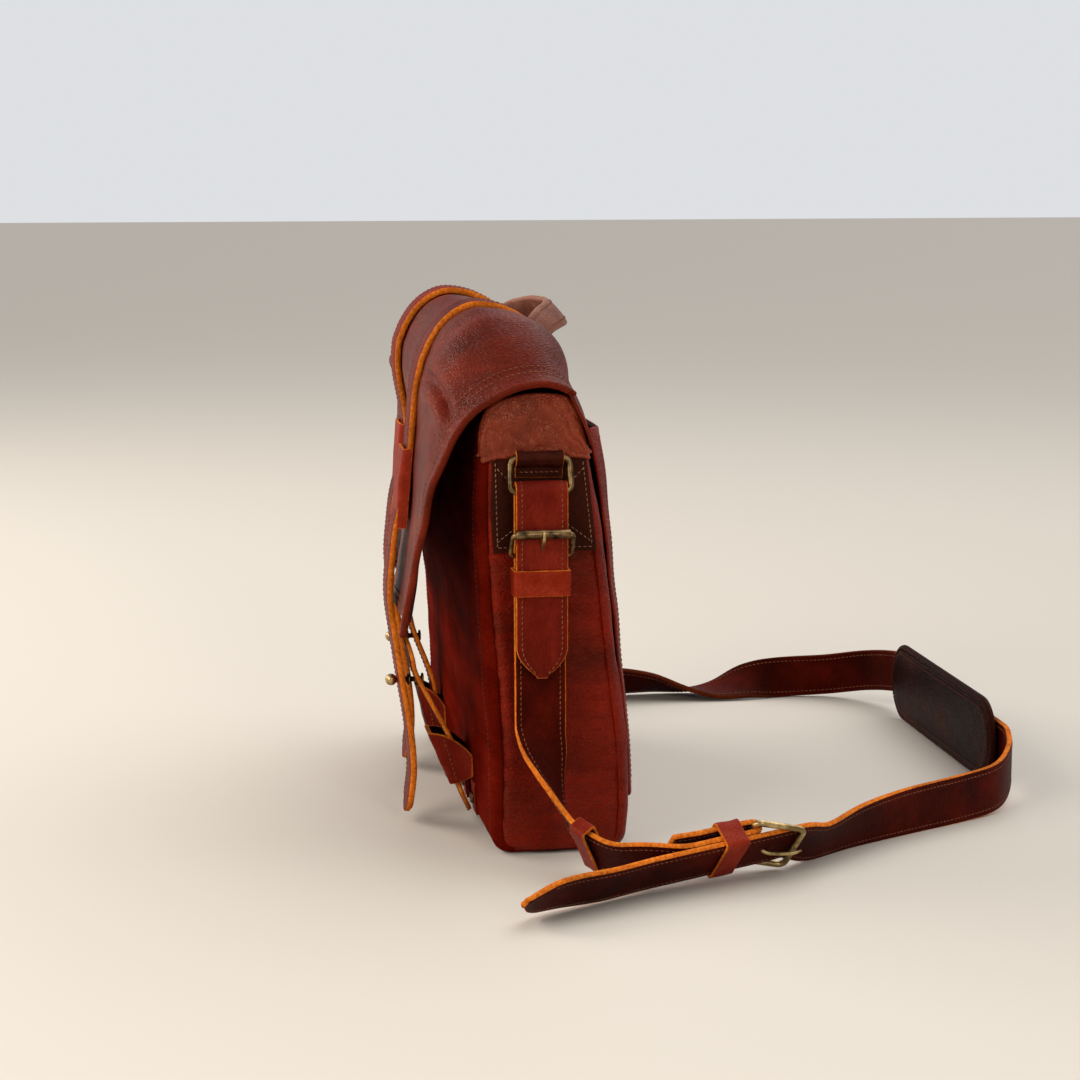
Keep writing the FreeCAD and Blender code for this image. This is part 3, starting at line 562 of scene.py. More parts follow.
STRAP = leather("strap_leather", srgb(104, 20, 10), srgb(72, 11, 5), srgb(138, 40, 24), cell=700, wear=0.3,
                stretch=(1, 1, 0.5))
DARK = leather("floor_strap_leather", srgb(64, 9, 3), srgb(38, 4, 1), srgb(94, 20, 8), cell=700, wear=0.3, spec=0.05)
KEEPER = leather("keeper_leather", srgb(130, 30, 12), srgb(98, 18, 7), srgb(160, 54, 30), cell=600, wear=0.3)
PAD = leather("pad_leather", srgb(32, 9, 6), srgb(16, 4, 3), srgb(62, 22, 14), cell=420, rough=(0.3, 0.5), spec=0.04)
# the handle's light tan is partly its own tone, partly a painted sheen of the light on it
HANDLE = leather("handle_leather", srgb(138, 84, 66), srgb(100, 54, 40), srgb(178, 134, 112), cell=520)
FLESH = fibre("flesh_side", srgb(96, 54, 36), srgb(66, 34, 22), srgb(128, 80, 56), scale=180.0)
INSIDE = leather("dark_inside", srgb(38, 20, 17), srgb(24, 12, 10), srgb(56, 32, 26), rough=(0.6, 0.8), wear=0.1)
RAW = fibre("raw_edge", srgb(204, 104, 24), srgb(160, 70, 14), srgb(228, 138, 46), scale=420.0)
# painted shade: the long strap's raw edge turns dark towards the far end, where it lies in shadow
RAW_SHADED = shaded_along_x("raw_edge_painted_shade", RAW, 70, 20, 0.16)
LINING = cloth("lining_cloth", srgb(20, 18, 18), srgb(42, 38, 36))
FOAM = cloth("insert_cloth", srgb(62, 60, 58), srgb(98, 95, 92), scale=500.0)
BOARD = fibre("board_fibre", srgb(112, 96, 78), srgb(86, 72, 58), srgb(140, 122, 100), scale=120.0)
PALE_THREAD = fibre("pale_thread", srgb(128, 92, 68), srgb(92, 62, 46), srgb(164, 128, 98), scale=900.0)
TAN_THREAD = fibre("tan_thread", srgb(126, 72, 50), srgb(90, 48, 34), srgb(160, 104, 76), scale=900.0)
DARK_THREAD = fibre("dark_thread", srgb(84, 44, 32), srgb(56, 28, 20), srgb(120, 72, 54), scale=900.0)
BRASS = brass("antique_brass", srgb(150, 120, 80), srgb(46, 34, 25))
BRIGHT = brass("rubbed_brass", srgb(214, 186, 128), srgb(128, 104, 66))


# ---------------------------------------------------------------- shared outlines, row frame, mm
FRONT = [(-51.5, 282), (-53.6, 262), (-54.5, 221), (-52.0, 167), (-47.6, 113), (-45.0, 60), (-45.0, 18), (-43.2, 7),
         (-38, 1.8), (-31, 0.6)]
BACK = [(6.5, 297), (15.3, 274), (20.5, 250), (28.5, 201), (37.4, 124), (43.0, 80), (45.5, 40), (44.6, 16),
        (42.2, 6), (36, 1.6), (29, 0.6)]
CROWN = [(-48.0, 281.4), (-46, 285), (-39, 291), (-25, 296), (-10, 297.5), (1.0, 296.5), (8.0, 281.4)]
HALF = float(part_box("gusset_near")[1].x) / MM
FRONT_C = curve(FRONT, 10)
BACK_C = curve(BACK, 10)


def side_at(path, z):
    order = np.argsort(path[:, 1])
    return np.interp(z, path[order, 1], path[order, 0])


def panel_grid(path, out_sign, corner=6.5, cols=90, bulge=4.5):
    """Grid over the front or back panel, wrapped a little round both ends."""
    p = even(path, 3.0)
    t = unit(np.gradient(p, axis=0))
    out = np.stack([-t[:, 1] * out_sign, t[:, 0] * out_sign], 1)
    flat = HALF - corner
    arc = np.radians(np.linspace(0, 84, 8))[1:]
    xs = np.concatenate([-flat - corner * np.sin(arc[::-1]), np.linspace(-flat, flat, cols),
                         flat + corner * np.sin(arc)])
    drop = np.concatenate([corner * (1 - np.cos(arc[::-1])), np.zeros(cols), corner * (1 - np.cos(arc))])
    swell = bulge * (1 - np.abs(xs / HALF) ** 4)
    up = np.sin(np.pi * np.clip((p[:, 1] - 4) / 276, 0, 1)) ** 0.8
    g = np.zeros((len(p), len(xs), 3))
    g[:, :, 0] = xs[None, :]
    amount = swell[None, :] * up[:, None] - drop[None, :]
    g[:, :, 1] = p[:, None, 0] + out[:, None, 0] * amount
    g[:, :, 2] = np.maximum(p[:, None, 1] + out[:, None, 1] * amount, 0.4)
    soft = (ripple(g, 60, 3) * 0.9 + ripple(g, 22, 4) * 0.35) * (up[:, None] * 0.8 + 0.2)
    g[:, :, 1] += out[:, None, 0] * soft * (drop[None, :] < 1)
    return g


def body_shell():
    front = facing(panel_grid(FRONT_C, -1), (0, -1, 0))
    sheet("front_panel_leather", front, 2.6, "bag_body", SHADED_PANEL, INSIDE, SHADED_PANEL, ROLLED,
          replaces=("front_panel",), slot="body_leather", sharp=False)
    back = facing(panel_grid(BACK_C, 1, bulge=1.2), (0, 1, 0))
    sheet("back_panel_leather", back, 2.6, "bag_body", BODY, INSIDE, BODY, ROLLED,
          replaces=("back_panel",), slot="body_leather", sharp=False)
    n = grid_normals(front)
    for edge in (-1, 1):
        tag = "near" if edge > 0 else "far"
        col = int(np.argmin(np.abs(front[20, :, 0] - edge * (HALF - 11))))
        path, nn = front[:, col], n[:, col]
        keep = (path[:, 2] > 12) & (path[:, 2] < 278)
        stitches("front_seam_stitching_" + tag, [(path[keep], nn[keep])], "bag_body", DARK_THREAD)
    xs = np.linspace(-HALF + 5, HALF - 5, 60)
    ys = np.linspace(-31, 29, 22)
    g = np.zeros((len(xs), len(ys), 3))
    g[:, :, 0] = xs[:, None]
    g[:, :, 1] = ys[None, :]
    g[:, :, 2] = 0.5 + 0.25 * (1 + ripple(g, 40, 5))
    sheet("base_panel_leather", facing(g, (0, 0, -1)), 2.4, "bag_body", BODY, INSIDE, replaces=("base_panel",),
          slot="body_leather")


def gusset(sign):
    tag = "near" if sign > 0 else "far"
    rows, cols = 110, 44
    crown = curve(CROWN, 8)
    v = np.linspace(0, 1, cols)
    g = np.zeros((rows, cols, 3))
    for i, r in enumerate(np.linspace(0, 1, rows)):
        y_mid = -48 + 56 * v
        top = np.interp(y_mid, crown[:, 0], crown[:, 1])
        z = 3.2 + (top - 3.2) * (r ** 0.92)
        lo = side_at(FRONT_C, np.minimum(z, 282)) + 4.9
        hi = side_at(BACK_C, np.minimum(z, 296)) - 4.9
        shrink = ease((z - 276) / 20)
        lo = lo + 1.5 * shrink
        g[i, :, 1] = lo + (hi - lo) * v
        g[i, :, 2] = z
    y, z = g[:, :, 1], g[:, :, 2]
    edge = np.minimum(v, 1 - v)[None, :] * 85
    edge = np.minimum(edge, (z - 1.5) * 1.0)
    dip = 2.4 * np.exp(-(edge / 3.0) ** 2)
    mid = np.exp(-((y + 8) / 26) ** 2)
    sink = 2.6 * mid * np.sin(np.pi * np.clip(z / 200, 0, 1)) * (z < 200)
    belly = 2.2 * np.exp(-((z - 26) / 26) ** 2) * np.sin(np.pi * v)[None, :] ** 0.7
    fold = 1.3 * np.exp(-((y + 36 - 5 * np.sin(z / 38)) / 3.6) ** 2) * ease((210 - z) / 60) * ease((z - 30) / 50)
    shape = -dip - sink + belly + fold * 0.8
    lying = np.where(z < 198, 1.0, 0.25)
    shape += (ripple(g, 46, 11) * 0.8 + ripple(g * vec(1, 1, 2.6), 30, 12) * 0.5) * lying
    g[:, :, 0] = sign * np.minimum(HALF + shape, HALF + 1.6)
    sheet("gusset_leather_" + tag, facing(g, (sign, 0, 0)), 2.4, "bag_body", BODY, INSIDE, sharp=False,
          replaces=("gusset_" + tag,), slot="body_leather")


def pair(build):
    for sign in (1, -1):
        build(sign)


def mirror(g, sign):
    """Mirrors a grid to the far end and keeps its good side outwards."""
    if sign > 0:
        return g
    g = g.copy() * vec(-1, 1, 1)
    return g[:, ::-1]


def mirror_path(p, sign):
    return p * vec(sign, 1, 1)


def gusset_cap(sign):
    tag = "near" if sign > 0 else "far"
    outer = curve([(-53.0, 262.5), (-53.4, 272), (-51.5, 283), (-47, 291), (-38, 296.5), (-25, 299.6),
                   (-10, 300.2), (2.5, 298.8), (8.0, 293), (12.5, 282), (16.0, 271), (18.3, 263)], 6)
    n = 46
    v = np.linspace(0, 1, n)
    bottom = np.stack([np.linspace(-51.5, 17.5, n), 261.3 + 1.6 * np.sin(v * 3.1)], 1)
    s = even(outer, 0.8)
    s = s[np.linspace(0, len(s) - 1, n).astype(int)]
    rows = []
    m = 26
    for k in range(m):
        a = k / (m - 1)
        rows.append(s * (1 - a) + bottom * a)
    p = np.array(rows)
    g = np.zeros((m, n, 3))
    g[:, :, 1:] = p
    a = np.linspace(0, 1, m)[:, None]
    pillow = (1 - (1 - np.minimum(a, 0.35) / 0.35) ** 2.2) * (1 - np.abs(2 * v - 1)[None, :] ** 9)
    puff = pillow * (1.9 + 1.0 * np.sin(np.pi * a))
    crease = np.abs(ripple(g * vec(1, 1.5, 0.55), 12, 22))
    calm = ease(np.minimum(v, 1 - v) / 0.1)[None, :] * ease((1 - a) / 0.12)
    soft = ripple(g, 18, 21) * 0.8 - 1.0 * np.exp(-(crease / 0.3) ** 2)
    g[:, :, 0] = HALF + 0.9 + 1.2 * puff + soft * pillow * calm
    roll = np.exp(-(a - 1) ** 2 / 0.008)
    g[:, :, 0] += 0.8 * roll
    g[:, :, 2] -= 2.2 * roll * np.exp(-((v + 0.02) / 0.14) ** 2)[None, :]
    g = facing(mirror(g, sign), (sign, 0, 0))
    sheet("gusset_cap_leather_" + tag, g, 3.4, "bag_body", CAP, INSIDE, rim=ROLLED, sharp=False,
          replaces=("gusset_cap_" + tag,), slot="cap_leather")


def ring_patch(sign):
    tag = "near" if sign > 0 else "far"
    n, m = 40, 34
    z = np.linspace(262.5, 199.5, m)
    lo = np.interp(z, (200, 224, 262), (-43.6, -45.4, -44.2))
    hi = np.interp(z, (200, 210, 240, 262), (22.6, 21.8, 18.4, 15.4))
    v = np.linspace(0, 1, n)
    g = np.zeros((m, n, 3))
    g[:, :, 1] = lo[:, None] + (hi - lo)[:, None] * v
    g[:, :, 2] = z[:, None] + 0.8 * np.sin(v * 9)[None, :] * ease((225 - z) / 30)[:, None]
    g[:, :, 0] = HALF + 1.9 + ripple(g, 18, 31) * 0.3
    g[:, :, 0] -= 1.3 * np.exp(-((1 - v) * 60 / 2.5) ** 2)[None, :]
    g = facing(mirror(g, sign), (sign, 0, 0))
    sheet("ring_patch_leather_" + tag, g, 1.8, "bag_body", PATCH, INSIDE, PATCH, sharp=False,
          replaces=("ring_patch_" + tag,), slot="patch_leather")
    n_out = np.broadcast_to(vec(1, 0, 0), (30, 3))

    def run(a, b):
        y = np.linspace(a[0], b[0], 30)
        zz = np.linspace(a[1], b[1], 30)
        return np.stack([np.full(30, HALF + 2.1), y, zz], 1), n_out

    rows = [run((-41.5, 203), (20, 202.5)), run((-42.8, 258), (-41.4, 203)), run((19.6, 204), (13.5, 258)),
            run((-42, 206), (-16, 226)), run((-42, 254), (-16, 228)), run((19, 206), (-8, 226)),
            run((14.5, 254), (-8, 230))]
    rows = [(mirror_path(p, sign), mirror_path(q, sign)) for p, q in rows]
    stitches("ring_patch_stitching_" + tag, rows, "bag_body", PALE_THREAD)


RING_TOP = (181.3, 261.0)
RING_LOW = (186.0, 240.0)
STRAP_Y = -15.0


def ring_and_sleeve(sign):
    tag = "near" if sign > 0 else "far"
    (xt, zt), (xl, zl) = RING_TOP, RING_LOW
    y0, y1 = STRAP_Y - 19, STRAP_Y + 19
    loop = rounded_loop([(xt, y0, zt), (xl, y0 - 0.6, zl), (xl, y1 + 0.6, zl), (xt, y1, zt)], 5.0)
    tube("strap_ring_brass_" + tag, mirror_path(loop, sign), 2.05, "ring_" + tag, BRASS, closed=True,
         replaces=("strap_ring_" + tag,), slot="brass")
    angles = np.radians(np.linspace(-120, 95, 22))
    section = [(xt + 4.3 * math.sin(a), zt + 4.3 * math.cos(a)) for a in angles]
    section = [(HALF + 2.0, zt + 3.2), (HALF + 2.4, zt + 3.9)] + section[4:] + [(xt + 1.4, zt - 4.6),
                                                                                (HALF + 3.6, zt - 6.5),
                                                                                (HALF + 3.4, zt - 13)]
    sec = even(np.array(section), 0.9)
    ys = np.linspace(-30, 0, 26)
    g = np.zeros((len(sec), len(ys), 3))
    g[:, :, 0] = sec[:, 0][:, None]
    g[:, :, 1] = ys[None, :]
    g[:, :, 2] = sec[:, 1][:, None]
    g[:, :, 0] += 0.25 * ripple(g, 9, 41)
    g[:, :, 2] += 0.25 * ripple(g, 9, 42)
    g = mirror(g, sign)
    n = grid_normals(g)
    if n[8, 10] @ (g[8, 10] - vec(sign * xt, g[8, 10, 1], zt)) < 0:
        g = g[:, ::-1]
    sheet("ring_sleeve_leather_" + tag, g, 1.8, "bag_body", PATCH, INSIDE, RAW,
          replaces=("ring_sleeve_" + tag,), slot="patch_leather")
    path = np.stack([np.full(20, HALF + 4.0), np.linspace(-28, -2, 20), np.full(20, zt - 9.5)], 1)
    stitches("ring_sleeve_stitching_" + tag, [(mirror_path(path, sign), np.tile(vec(sign, 0, 0), (20, 1)))],
             "bag_body", TAN_THREAD)


# ---------------------------------------------------------------- strap that hangs on a ring
def pointed(s_from_tip, width, reach=20.0, blunt=0.16):
    k = np.clip(1 - s_from_tip / reach, 0, 1)
    return width * np.maximum(1 - k ** 2.1, blunt)


STRAP_W, STRAP_T = 32.0, 3.5


def strap_end(sign):
    """Front layer: from behind the low bar of the ring, over it and down to the pointed tail."""
    tag = "near" if sign > 0 else "far"
    x, z = RING_LOW
    r = 3.4 + STRAP_T / 2
    turn = [(x - r, z - 10), (x - r, z)] + [(x - r * math.cos(a), z + r * math.sin(a))
                                            for a in np.radians(np.linspace(15, 165, 11))]
    down = [(x + r, z), (x + r + 0.3, z - 20), (x + r + 0.2, z - 40), (x + r - 0.2, z - 62), (x + r, z - 90),
            (x + r + 0.4, 121)]
    path = even(np.array(turn + down), 1.4)
    mid = np.stack([path[:, 0], np.full(len(path), STRAP_Y), path[:, 1]], 1)
    s = np.concatenate([[0], np.cumsum(np.linalg.norm(np.diff(mid, axis=0), axis=1))])
    width = pointed(s[-1] - s, STRAP_W)
    across = np.tile(vec(0, 1, 0), (len(mid), 1))
    g = strap_grid(mid, across, width, cols=13)
    n = grid_normals(g)
    if n[-20, 6, 0] < 0:
        g = g[:, ::-1]
        n = grid_normals(g)
    g = g + n * (STRAP_T / 2)
    g = mirror(g, sign)
    obj = sheet("strap_end_leather_" + tag, g, STRAP_T, None, STRAP, FLESH, RAW)
    axis, side = (1, 0, 0), (0, 0, 1)
    holes = [((sign * (x + r), STRAP_Y, hz), axis, side, 1.7, 1.7) for hz in (164.0, 147.0)]
    holes.append(((sign * (x + r), STRAP_Y, 203.5), axis, side, 2.0, 5.0))
    cut_holes(obj, holes)
    attach(obj, "bag_body")
    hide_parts("strap_end_" + tag)
    n = grid_normals(g)
    runs = []
    keep = mid[:, 2] < 246
    keep &= np.arange(len(mid)) > 12
    for share in (0.1, 0.9):
        p, q = line_on(g, share, n)
        runs.append((p[keep][:-2], q[keep][:-2]))
    stitches("strap_end_stitching_" + tag, runs, "bag_body", TAN_THREAD)


def end_buckle(sign):
    tag = "near" if sign > 0 else "far"
    xb, zb = 186.0, 199.0
    xr, zr = 196.5, 214.0
    y0, y1 = STRAP_Y - 19.6, STRAP_Y + 19.6
    loop = rounded_loop([(xb, y0, zb), (xr, y0, zr), (xr, y1, zr), (xb, y1, zb)], 3.5)
    tube("end_buckle_brass_" + tag, mirror_path(loop, sign), 1.6, "bag_body", BRASS, closed=True,
         replaces=("end_buckle_" + tag,), slot="brass")
    profile = [(-17.6, 1.7), (-17.5, 2.5), (-16.9, 2.9), (-8, 3.0), (8, 3.0), (16.9, 2.9), (17.5, 2.5), (17.6, 1.7)]
    lathe("end_roller_brass_" + tag, profile, (sign * xr, STRAP_Y, zr), (0, 1, 0), "roller_" + tag, BRASS,
          replaces=("end_roller_" + tag,), slot="brass")
    prong = curve([(xb - 1.8, 0, zb - 2.2), (xb - 2.9, 0, zb + 0.8), (xb, 0, zb + 3.2), (xb + 5.5, 0, zb + 4.6),
                   (xb + 9.8, 0, zb + 8.2), (xb + 14.2, 0, zb + 12.2), (xb + 15.4, 0, zb + 17.2)], 6)
    prong[:, 1] += STRAP_Y
    r = np.interp(np.linspace(0, 1, len(prong)), (0, 0.8, 1), (1.5, 1.35, 0.8))
    tube("end_prong_brass_" + tag, mirror_path(prong, sign), r, "prong_" + tag, BRIGHT,
         replaces=("end_prong_" + tag,), slot="brass")


def band_loop(name, centre, u, v, w, half_u, half_v, length, t, how, mats, corner=2.0, soft=0.25, seed=51, **more):
    """A leather keeper: a rounded band round a strap. u and v span its section, w is its length."""
    u, v, w = unit(vec(*u)), unit(vec(*v)), unit(vec(*w))
    corners = [(-half_u, -half_v), (half_u, -half_v), (half_u, half_v), (-half_u, half_v)]
    sec = rounded_loop([(a, b, 0) for a, b in corners], corner, 5)[:, :2]
    sec = np.vstack([sec, sec[:1]])
    ws = np.linspace(-length / 2, length / 2, 9)
    g = np.zeros((len(sec), len(ws), 3))
    g += vec(*centre)
    g += sec[:, 0][:, None, None] * u + sec[:, 1][:, None, None] * v
    g += ws[None, :, None] * w
    out = sec[:, 0][:, None, None] * u / half_u + sec[:, 1][:, None, None] * v / half_v
    g = g + unit(out) * (ripple(g, 12, seed) * soft)[:, :, None]
    g[-1] = g[0]
    n = grid_normals(g)
    if np.sum(n[3, 4] * out[3, 0]) < 0:
        g = g[:, ::-1]
    return sheet(name, g, t, how, *mats, closed=True, **more)


def end_keeper(sign):
    tag = "near" if sign > 0 else "far"
    lo, hi = (np.array(c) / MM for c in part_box("end_keeper_" + tag))
    cx = (lo[0] + hi[0]) / 2
    band_loop("end_keeper_leather_" + tag, (cx, STRAP_Y, 182), (1, 0, 0), (0, 1, 0), (0, 0, 1),
              (hi[0] - lo[0]) / 2, (hi[1] - lo[1]) / 2, 16, 1.8, "bag_body", (KEEPER, FLESH, RAW),
              replaces=("end_keeper_" + tag,), slot="strap_leather")
    x = sign * 186.0
    angle = np.radians(np.linspace(-90, 90, 12))
    sec = [(-3.1, 174), (-3.1, 190)] + [(3.1 * math.sin(a), 199 + 3.1 * math.cos(a)) for a in angle]
    sec += [(3.1, 190), (3.1, 174)]
    sec = even(np.array(sec), 1.2)
    for part, (ya, yb) in (("a", (-31.0, -17.6)), ("b", (-12.4, 1.0))):
        ys = np.linspace(ya, yb, 8)
        g = np.zeros((len(sec), len(ys), 3))
        g[:, :, 0] = x + sec[:, 0][:, None]
        g[:, :, 1] = ys[None, :]
        g[:, :, 2] = sec[:, 1][:, None]
        n = grid_normals(g)
        if n[2, 3, 0] > 0:
            g = g[:, ::-1]
        sheet("buckle_chape_%s_%s" % (part, tag), g, 1.5, "bag_body", STRAP, FLESH, RAW)


# ---------------------------------------------------------------- flap
FLAP_TOP_MID = [(7, 301), (3.5, 318), (-8, 336), (-24, 346.5), (-42, 350), (-54, 346.5), (-64, 338.5),
                (-71.5, 327.5), (-75.5, 318.5)]
FLAP_TOP_END = [(7, 300.6), (0, 304.5), (-12, 307), (-28, 305.5), (-38, 302.5), (-47, 298), (-56, 292.5),
                (-63, 286), (-67.2, 280.4)]
FLAP_FRONT_MID = [(-77, 315.5), (-80, 303), (-82, 290), (-85, 256), (-89, 210), (-93, 178), (-97, 150)]
FLAP_FRONT_END = [(-69.6, 276.9), (-73.4, 270), (-77, 262), (-85, 240), (-94, 204), (-100, 176), (-105, 149)]
FAR_TUCK, CORNER_TUCK = 15.0, 14.0
STATION_X = [0, 115, 135, 152, 166, 176, 182]
STATION_BLEND = [0, 0, 0.15, 0.4, 0.66, 0.86, 1.0]
BEND = ("flap_top", "flap_front", (0, -71.5, 327.5), (0, -94.6, 313.6))


def tuck(x, y, z):
    """How far the flap's front hangs closer to the body on the far side."""
    side = FAR_TUCK * ease((60.0 - x) / 120.0) * ease((325.0 - z) / 85.0) * ease((-40.0 - y) / 25.0)
    return side + CORNER_TUCK * ease((-95.0 - x) / 80.0) * ease((262.0 - z) / 80.0)


def flap_profile(blend):
    mid = np.array(FLAP_TOP_MID + FLAP_FRONT_MID, float)
    end = np.array(FLAP_TOP_END + FLAP_FRONT_END, float)
    return curve(mid + (end - mid) * blend, 6)


def flap_grid():
    xs = np.concatenate([np.linspace(-182, -92, 44), np.linspace(-90, 90, 60), np.linspace(92, 182, 44)])
    count = 124
    rows, past_bend = [], []
    for x in xs:
        b = np.interp(abs(x), STATION_X, STATION_BLEND)
        p = flap_profile(ease(b) * 0.35 + b * 0.65)
        s = np.concatenate([[0], np.cumsum(np.linalg.norm(np.diff(p, axis=0), axis=1))])
        at_s = np.linspace(0, s[-1], count)
        rows.append(np.stack([np.full(count, x), np.interp(at_s, s, p[:, 0]), np.interp(at_s, s, p[:, 1])], 1))
        past_bend.append(at_s - s[6 * len(FLAP_TOP_MID)])
    g, d = np.array(rows), np.array(past_bend)
    g[:, :, 1] += tuck(g[:, :, 0], g[:, :, 1], g[:, :, 2])
    if grid_normals(g)[70, 30, 2] < 0:
        g, d = g[::-1], d[::-1]
    n = grid_normals(g)
    x = np.abs(g[:, :, 0])
    share = np.linspace(0, 1, count)[None, :]
    shoulder = np.exp(-((x - 142) / 34) ** 2) * np.exp(-((share - 0.12) / 0.1) ** 2)
    wing = ease((x - 100) / 70)
    bump = ripple(g, 70, 61) * 0.9 + ripple(g, 26, 62) * (0.3 + 0.4 * wing)
    under = np.exp(-((x - 76) / 17) ** 4)
    bump = np.where(bump > 0, bump * (1 - under), bump)
    slide = d - 4 + 0.16 * (x - 140)
    reach = ease((x - 98) / 26) * ease((181 - x) / 22)
    dart = reach * (5.0 * np.exp(-(slide / 4.2) ** 2) - 2.6 * np.exp(-((slide - 9) / 5.5) ** 2)
                    - 1.8 * np.exp(-((slide + 9) / 6.0) ** 2))
    lip = np.exp(-((182 - x) / 5.0) ** 2)
    return g + n * (bump - dart + 0.8 * lip + 9.0 * shoulder)[:, :, None]


def tucked(profile, x):
    p = np.array(profile, float)
    p[:, 0] += tuck(x, p[:, 0], p[:, 1])
    return p


def closure_run(x):
    """Side profile of the outer face of a closure strap over the flap."""
    top = curve(tucked(FLAP_TOP_MID, x), 8)
    front = curve(tucked(FLAP_FRONT_MID, x), 8)
    lift = np.interp(np.linspace(0, 6, len(front)), range(7), [0.5, 0.5, 0.5, 0.5, 0.6, 2.6, 2.2])
    both = np.vstack([top, front])
    gap = np.concatenate([np.full(len(top), 0.5), lift])
    t = unit(np.gradient(both, axis=0))
    out = np.stack([t[:, 1], -t[:, 0]], 1)
    out *= -np.sign(out[len(top) + 10, 0])
    keep = both[:, 0] < -11
    upper = both + out * (gap + CLOSURE_T)[:, None]
    return upper[keep]


CLOSURE_X, CLOSURE_W, CLOSURE_T = 76.0, 28.0, 4.2
CLOSURE_TAIL = [(-103.4, 148.2), (-101.5, 135), (-96.5, 101), (-91, 66), (-89, 38.5), (-91, 18), (-92.5, 7)]


def strap_from_profile(name, profile, x, width, t, how, mats, slot="strap_leather", cols=9, **more):
    """A strap carried along X from the side profile of its outer face."""
    mid = np.stack([np.full(len(profile), x), profile[:, 0], profile[:, 1]], 1)
    g = strap_grid(mid, np.tile(vec(1, 0, 0), (len(mid), 1)), width, cols)
    n = grid_normals(g)
    if np.sum(n[:, cols // 2, 1]) > 0:
        g = g[:, ::-1]
    return g, sheet(name, g, t, how, *mats, slot=slot, **more)


def closure_strap(sign):
    tag = "near" if sign > 0 else "far"
    x = sign * CLOSURE_X
    upper = closure_run(x)
    upper = upper[upper[:, 1] > 222]
    tail_top = tucked([(-99.5, 205), (-102.4, 182), (-104.0, 163)] + CLOSURE_TAIL, x)
    upper = even(upper, 2.2)
    g, _ = strap_from_profile("closure_strap_leather_" + tag, upper, x, CLOSURE_W, CLOSURE_T, BEND,
                              (STRAP, FLESH, RAW), replaces=("closure_strap_top_" + tag,
                                                             "closure_strap_front_" + tag))
    runs = [line_on(g, s) for s in (0.12, 0.88)]
    stitches("closure_strap_stitching_" + tag, runs, BEND, TAN_THREAD)
    start = upper[-1] + vec(0.0, 6)
    low = curve(np.vstack([start, tail_top]), 6)
    low = even(low, 2.0)
    s = np.concatenate([[0], np.cumsum(np.linalg.norm(np.diff(low, axis=0), axis=1))])
    left = s[-1] - s
    half = CLOSURE_W / 2
    width = np.where(left < half, np.sqrt(np.maximum(half ** 2 - (half - left) ** 2, 9)) * 2, CLOSURE_W)
    g, obj = strap_from_profile("closure_tail_leather_" + tag, low, x, width, CLOSURE_T, None,
                                (STRAP, FLESH, RAW), cols=11)
    dy = 0 if sign > 0 else FAR_TUCK
    cut_holes(obj, [((x, dy - 97, 97.5), (0, 1, 0), (0, 0, 1), 3.2, 8.0),
                    ((x, dy - 101, 128), (0, 1, 0), (0, 0, 1), 1.7, 1.7)])
    how = ("flap_front", "closure_tail_" + tag, (0, dy - 102.4, 158), (0, dy - 100.4, 141))
    attach(obj, how)
    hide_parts("closure_strap_tail_" + tag)
    runs = [line_on(g[10:-4], s) for s in (0.12, 0.88)]
    stitches("closure_tail_stitching_" + tag, runs, how, TAN_THREAD)


def flap_loop(sign):
    tag = "near" if sign > 0 else "far"
    half = CLOSURE_W / 2 + 3.6
    run = curve(tucked([(-84.9, 257), (-87, 233), (-89.5, 204)], sign * CLOSURE_X), 8)
    puff = np.interp(np.linspace(0, 1, len(run)), (0, 0.5, 1), (7.6, 9.0, 8.0))
    us = np.linspace(-1, 1, 25)
    g = np.zeros((len(run), len(us), 3))
    rise = 1 - np.clip((np.abs(us) - 0.72) / 0.28, 0, 1) ** 2.2
    g[:, :, 0] = sign * CLOSURE_X + half * us[None, :]
    g[:, :, 1] = run[:, 0][:, None] - 1.6 - rise[None, :] * (puff[:, None] - 1.6)
    g[:, :, 2] = run[:, 1][:, None] + 0.6 * ripple(g, 14, 71)
    n = grid_normals(g)
    if n[8, 12, 1] > 0:
        g = g[:, ::-1]
    sheet("flap_loop_leather_" + tag, g, 2.0, "flap_front", KEEPER, FLESH, RAW,
          replaces=("flap_loop_" + tag,), slot="strap_leather")


def flap_root():
    """Rear edge of the flap leather, sewn down on the top of the back panel and round both ends."""
    xs = np.concatenate([np.linspace(-183, -168, 10), np.linspace(-160, 160, 60), np.linspace(168, 183, 10)])
    profile = even(curve([(20.6, 268), (18.4, 277), (14.4, 289), (10.4, 299), (7.6, 303.4)], 8), 1.5)
    g = np.zeros((len(xs), len(profile), 3))
    wrap = ease((np.abs(xs) - 170) / 13)[:, None]
    depth = ease((profile[:, 1] - 262) / 40)[None, :]
    g[:, :, 0] = np.clip(xs[:, None], -181.5, 181.5)
    g[:, :, 1] = profile[None, :, 0] - wrap * (1.0 + 2.5 * depth)
    g[:, :, 2] = profile[None, :, 1] + 3.0 * wrap * (1 - depth)
    g[:, :, 1] += 0.3 * ripple(g, 24, 66)
    g = facing(g, (0, 1, 0))
    sheet("flap_root_leather", g, 2.4, "bag_body", FLAP, INSIDE, FLAP, ROLLED, sharp=False, slot="body_leather")
    n = grid_normals(g)
    low = int(np.argmin(g[30, :, 2]))
    rows = (3, 6) if low == 0 else (-4, -7)
    stitches("flap_root_stitching", [(g[6:-6, r], n[6:-6, r]) for r in rows], "bag_body", TAN_THREAD)


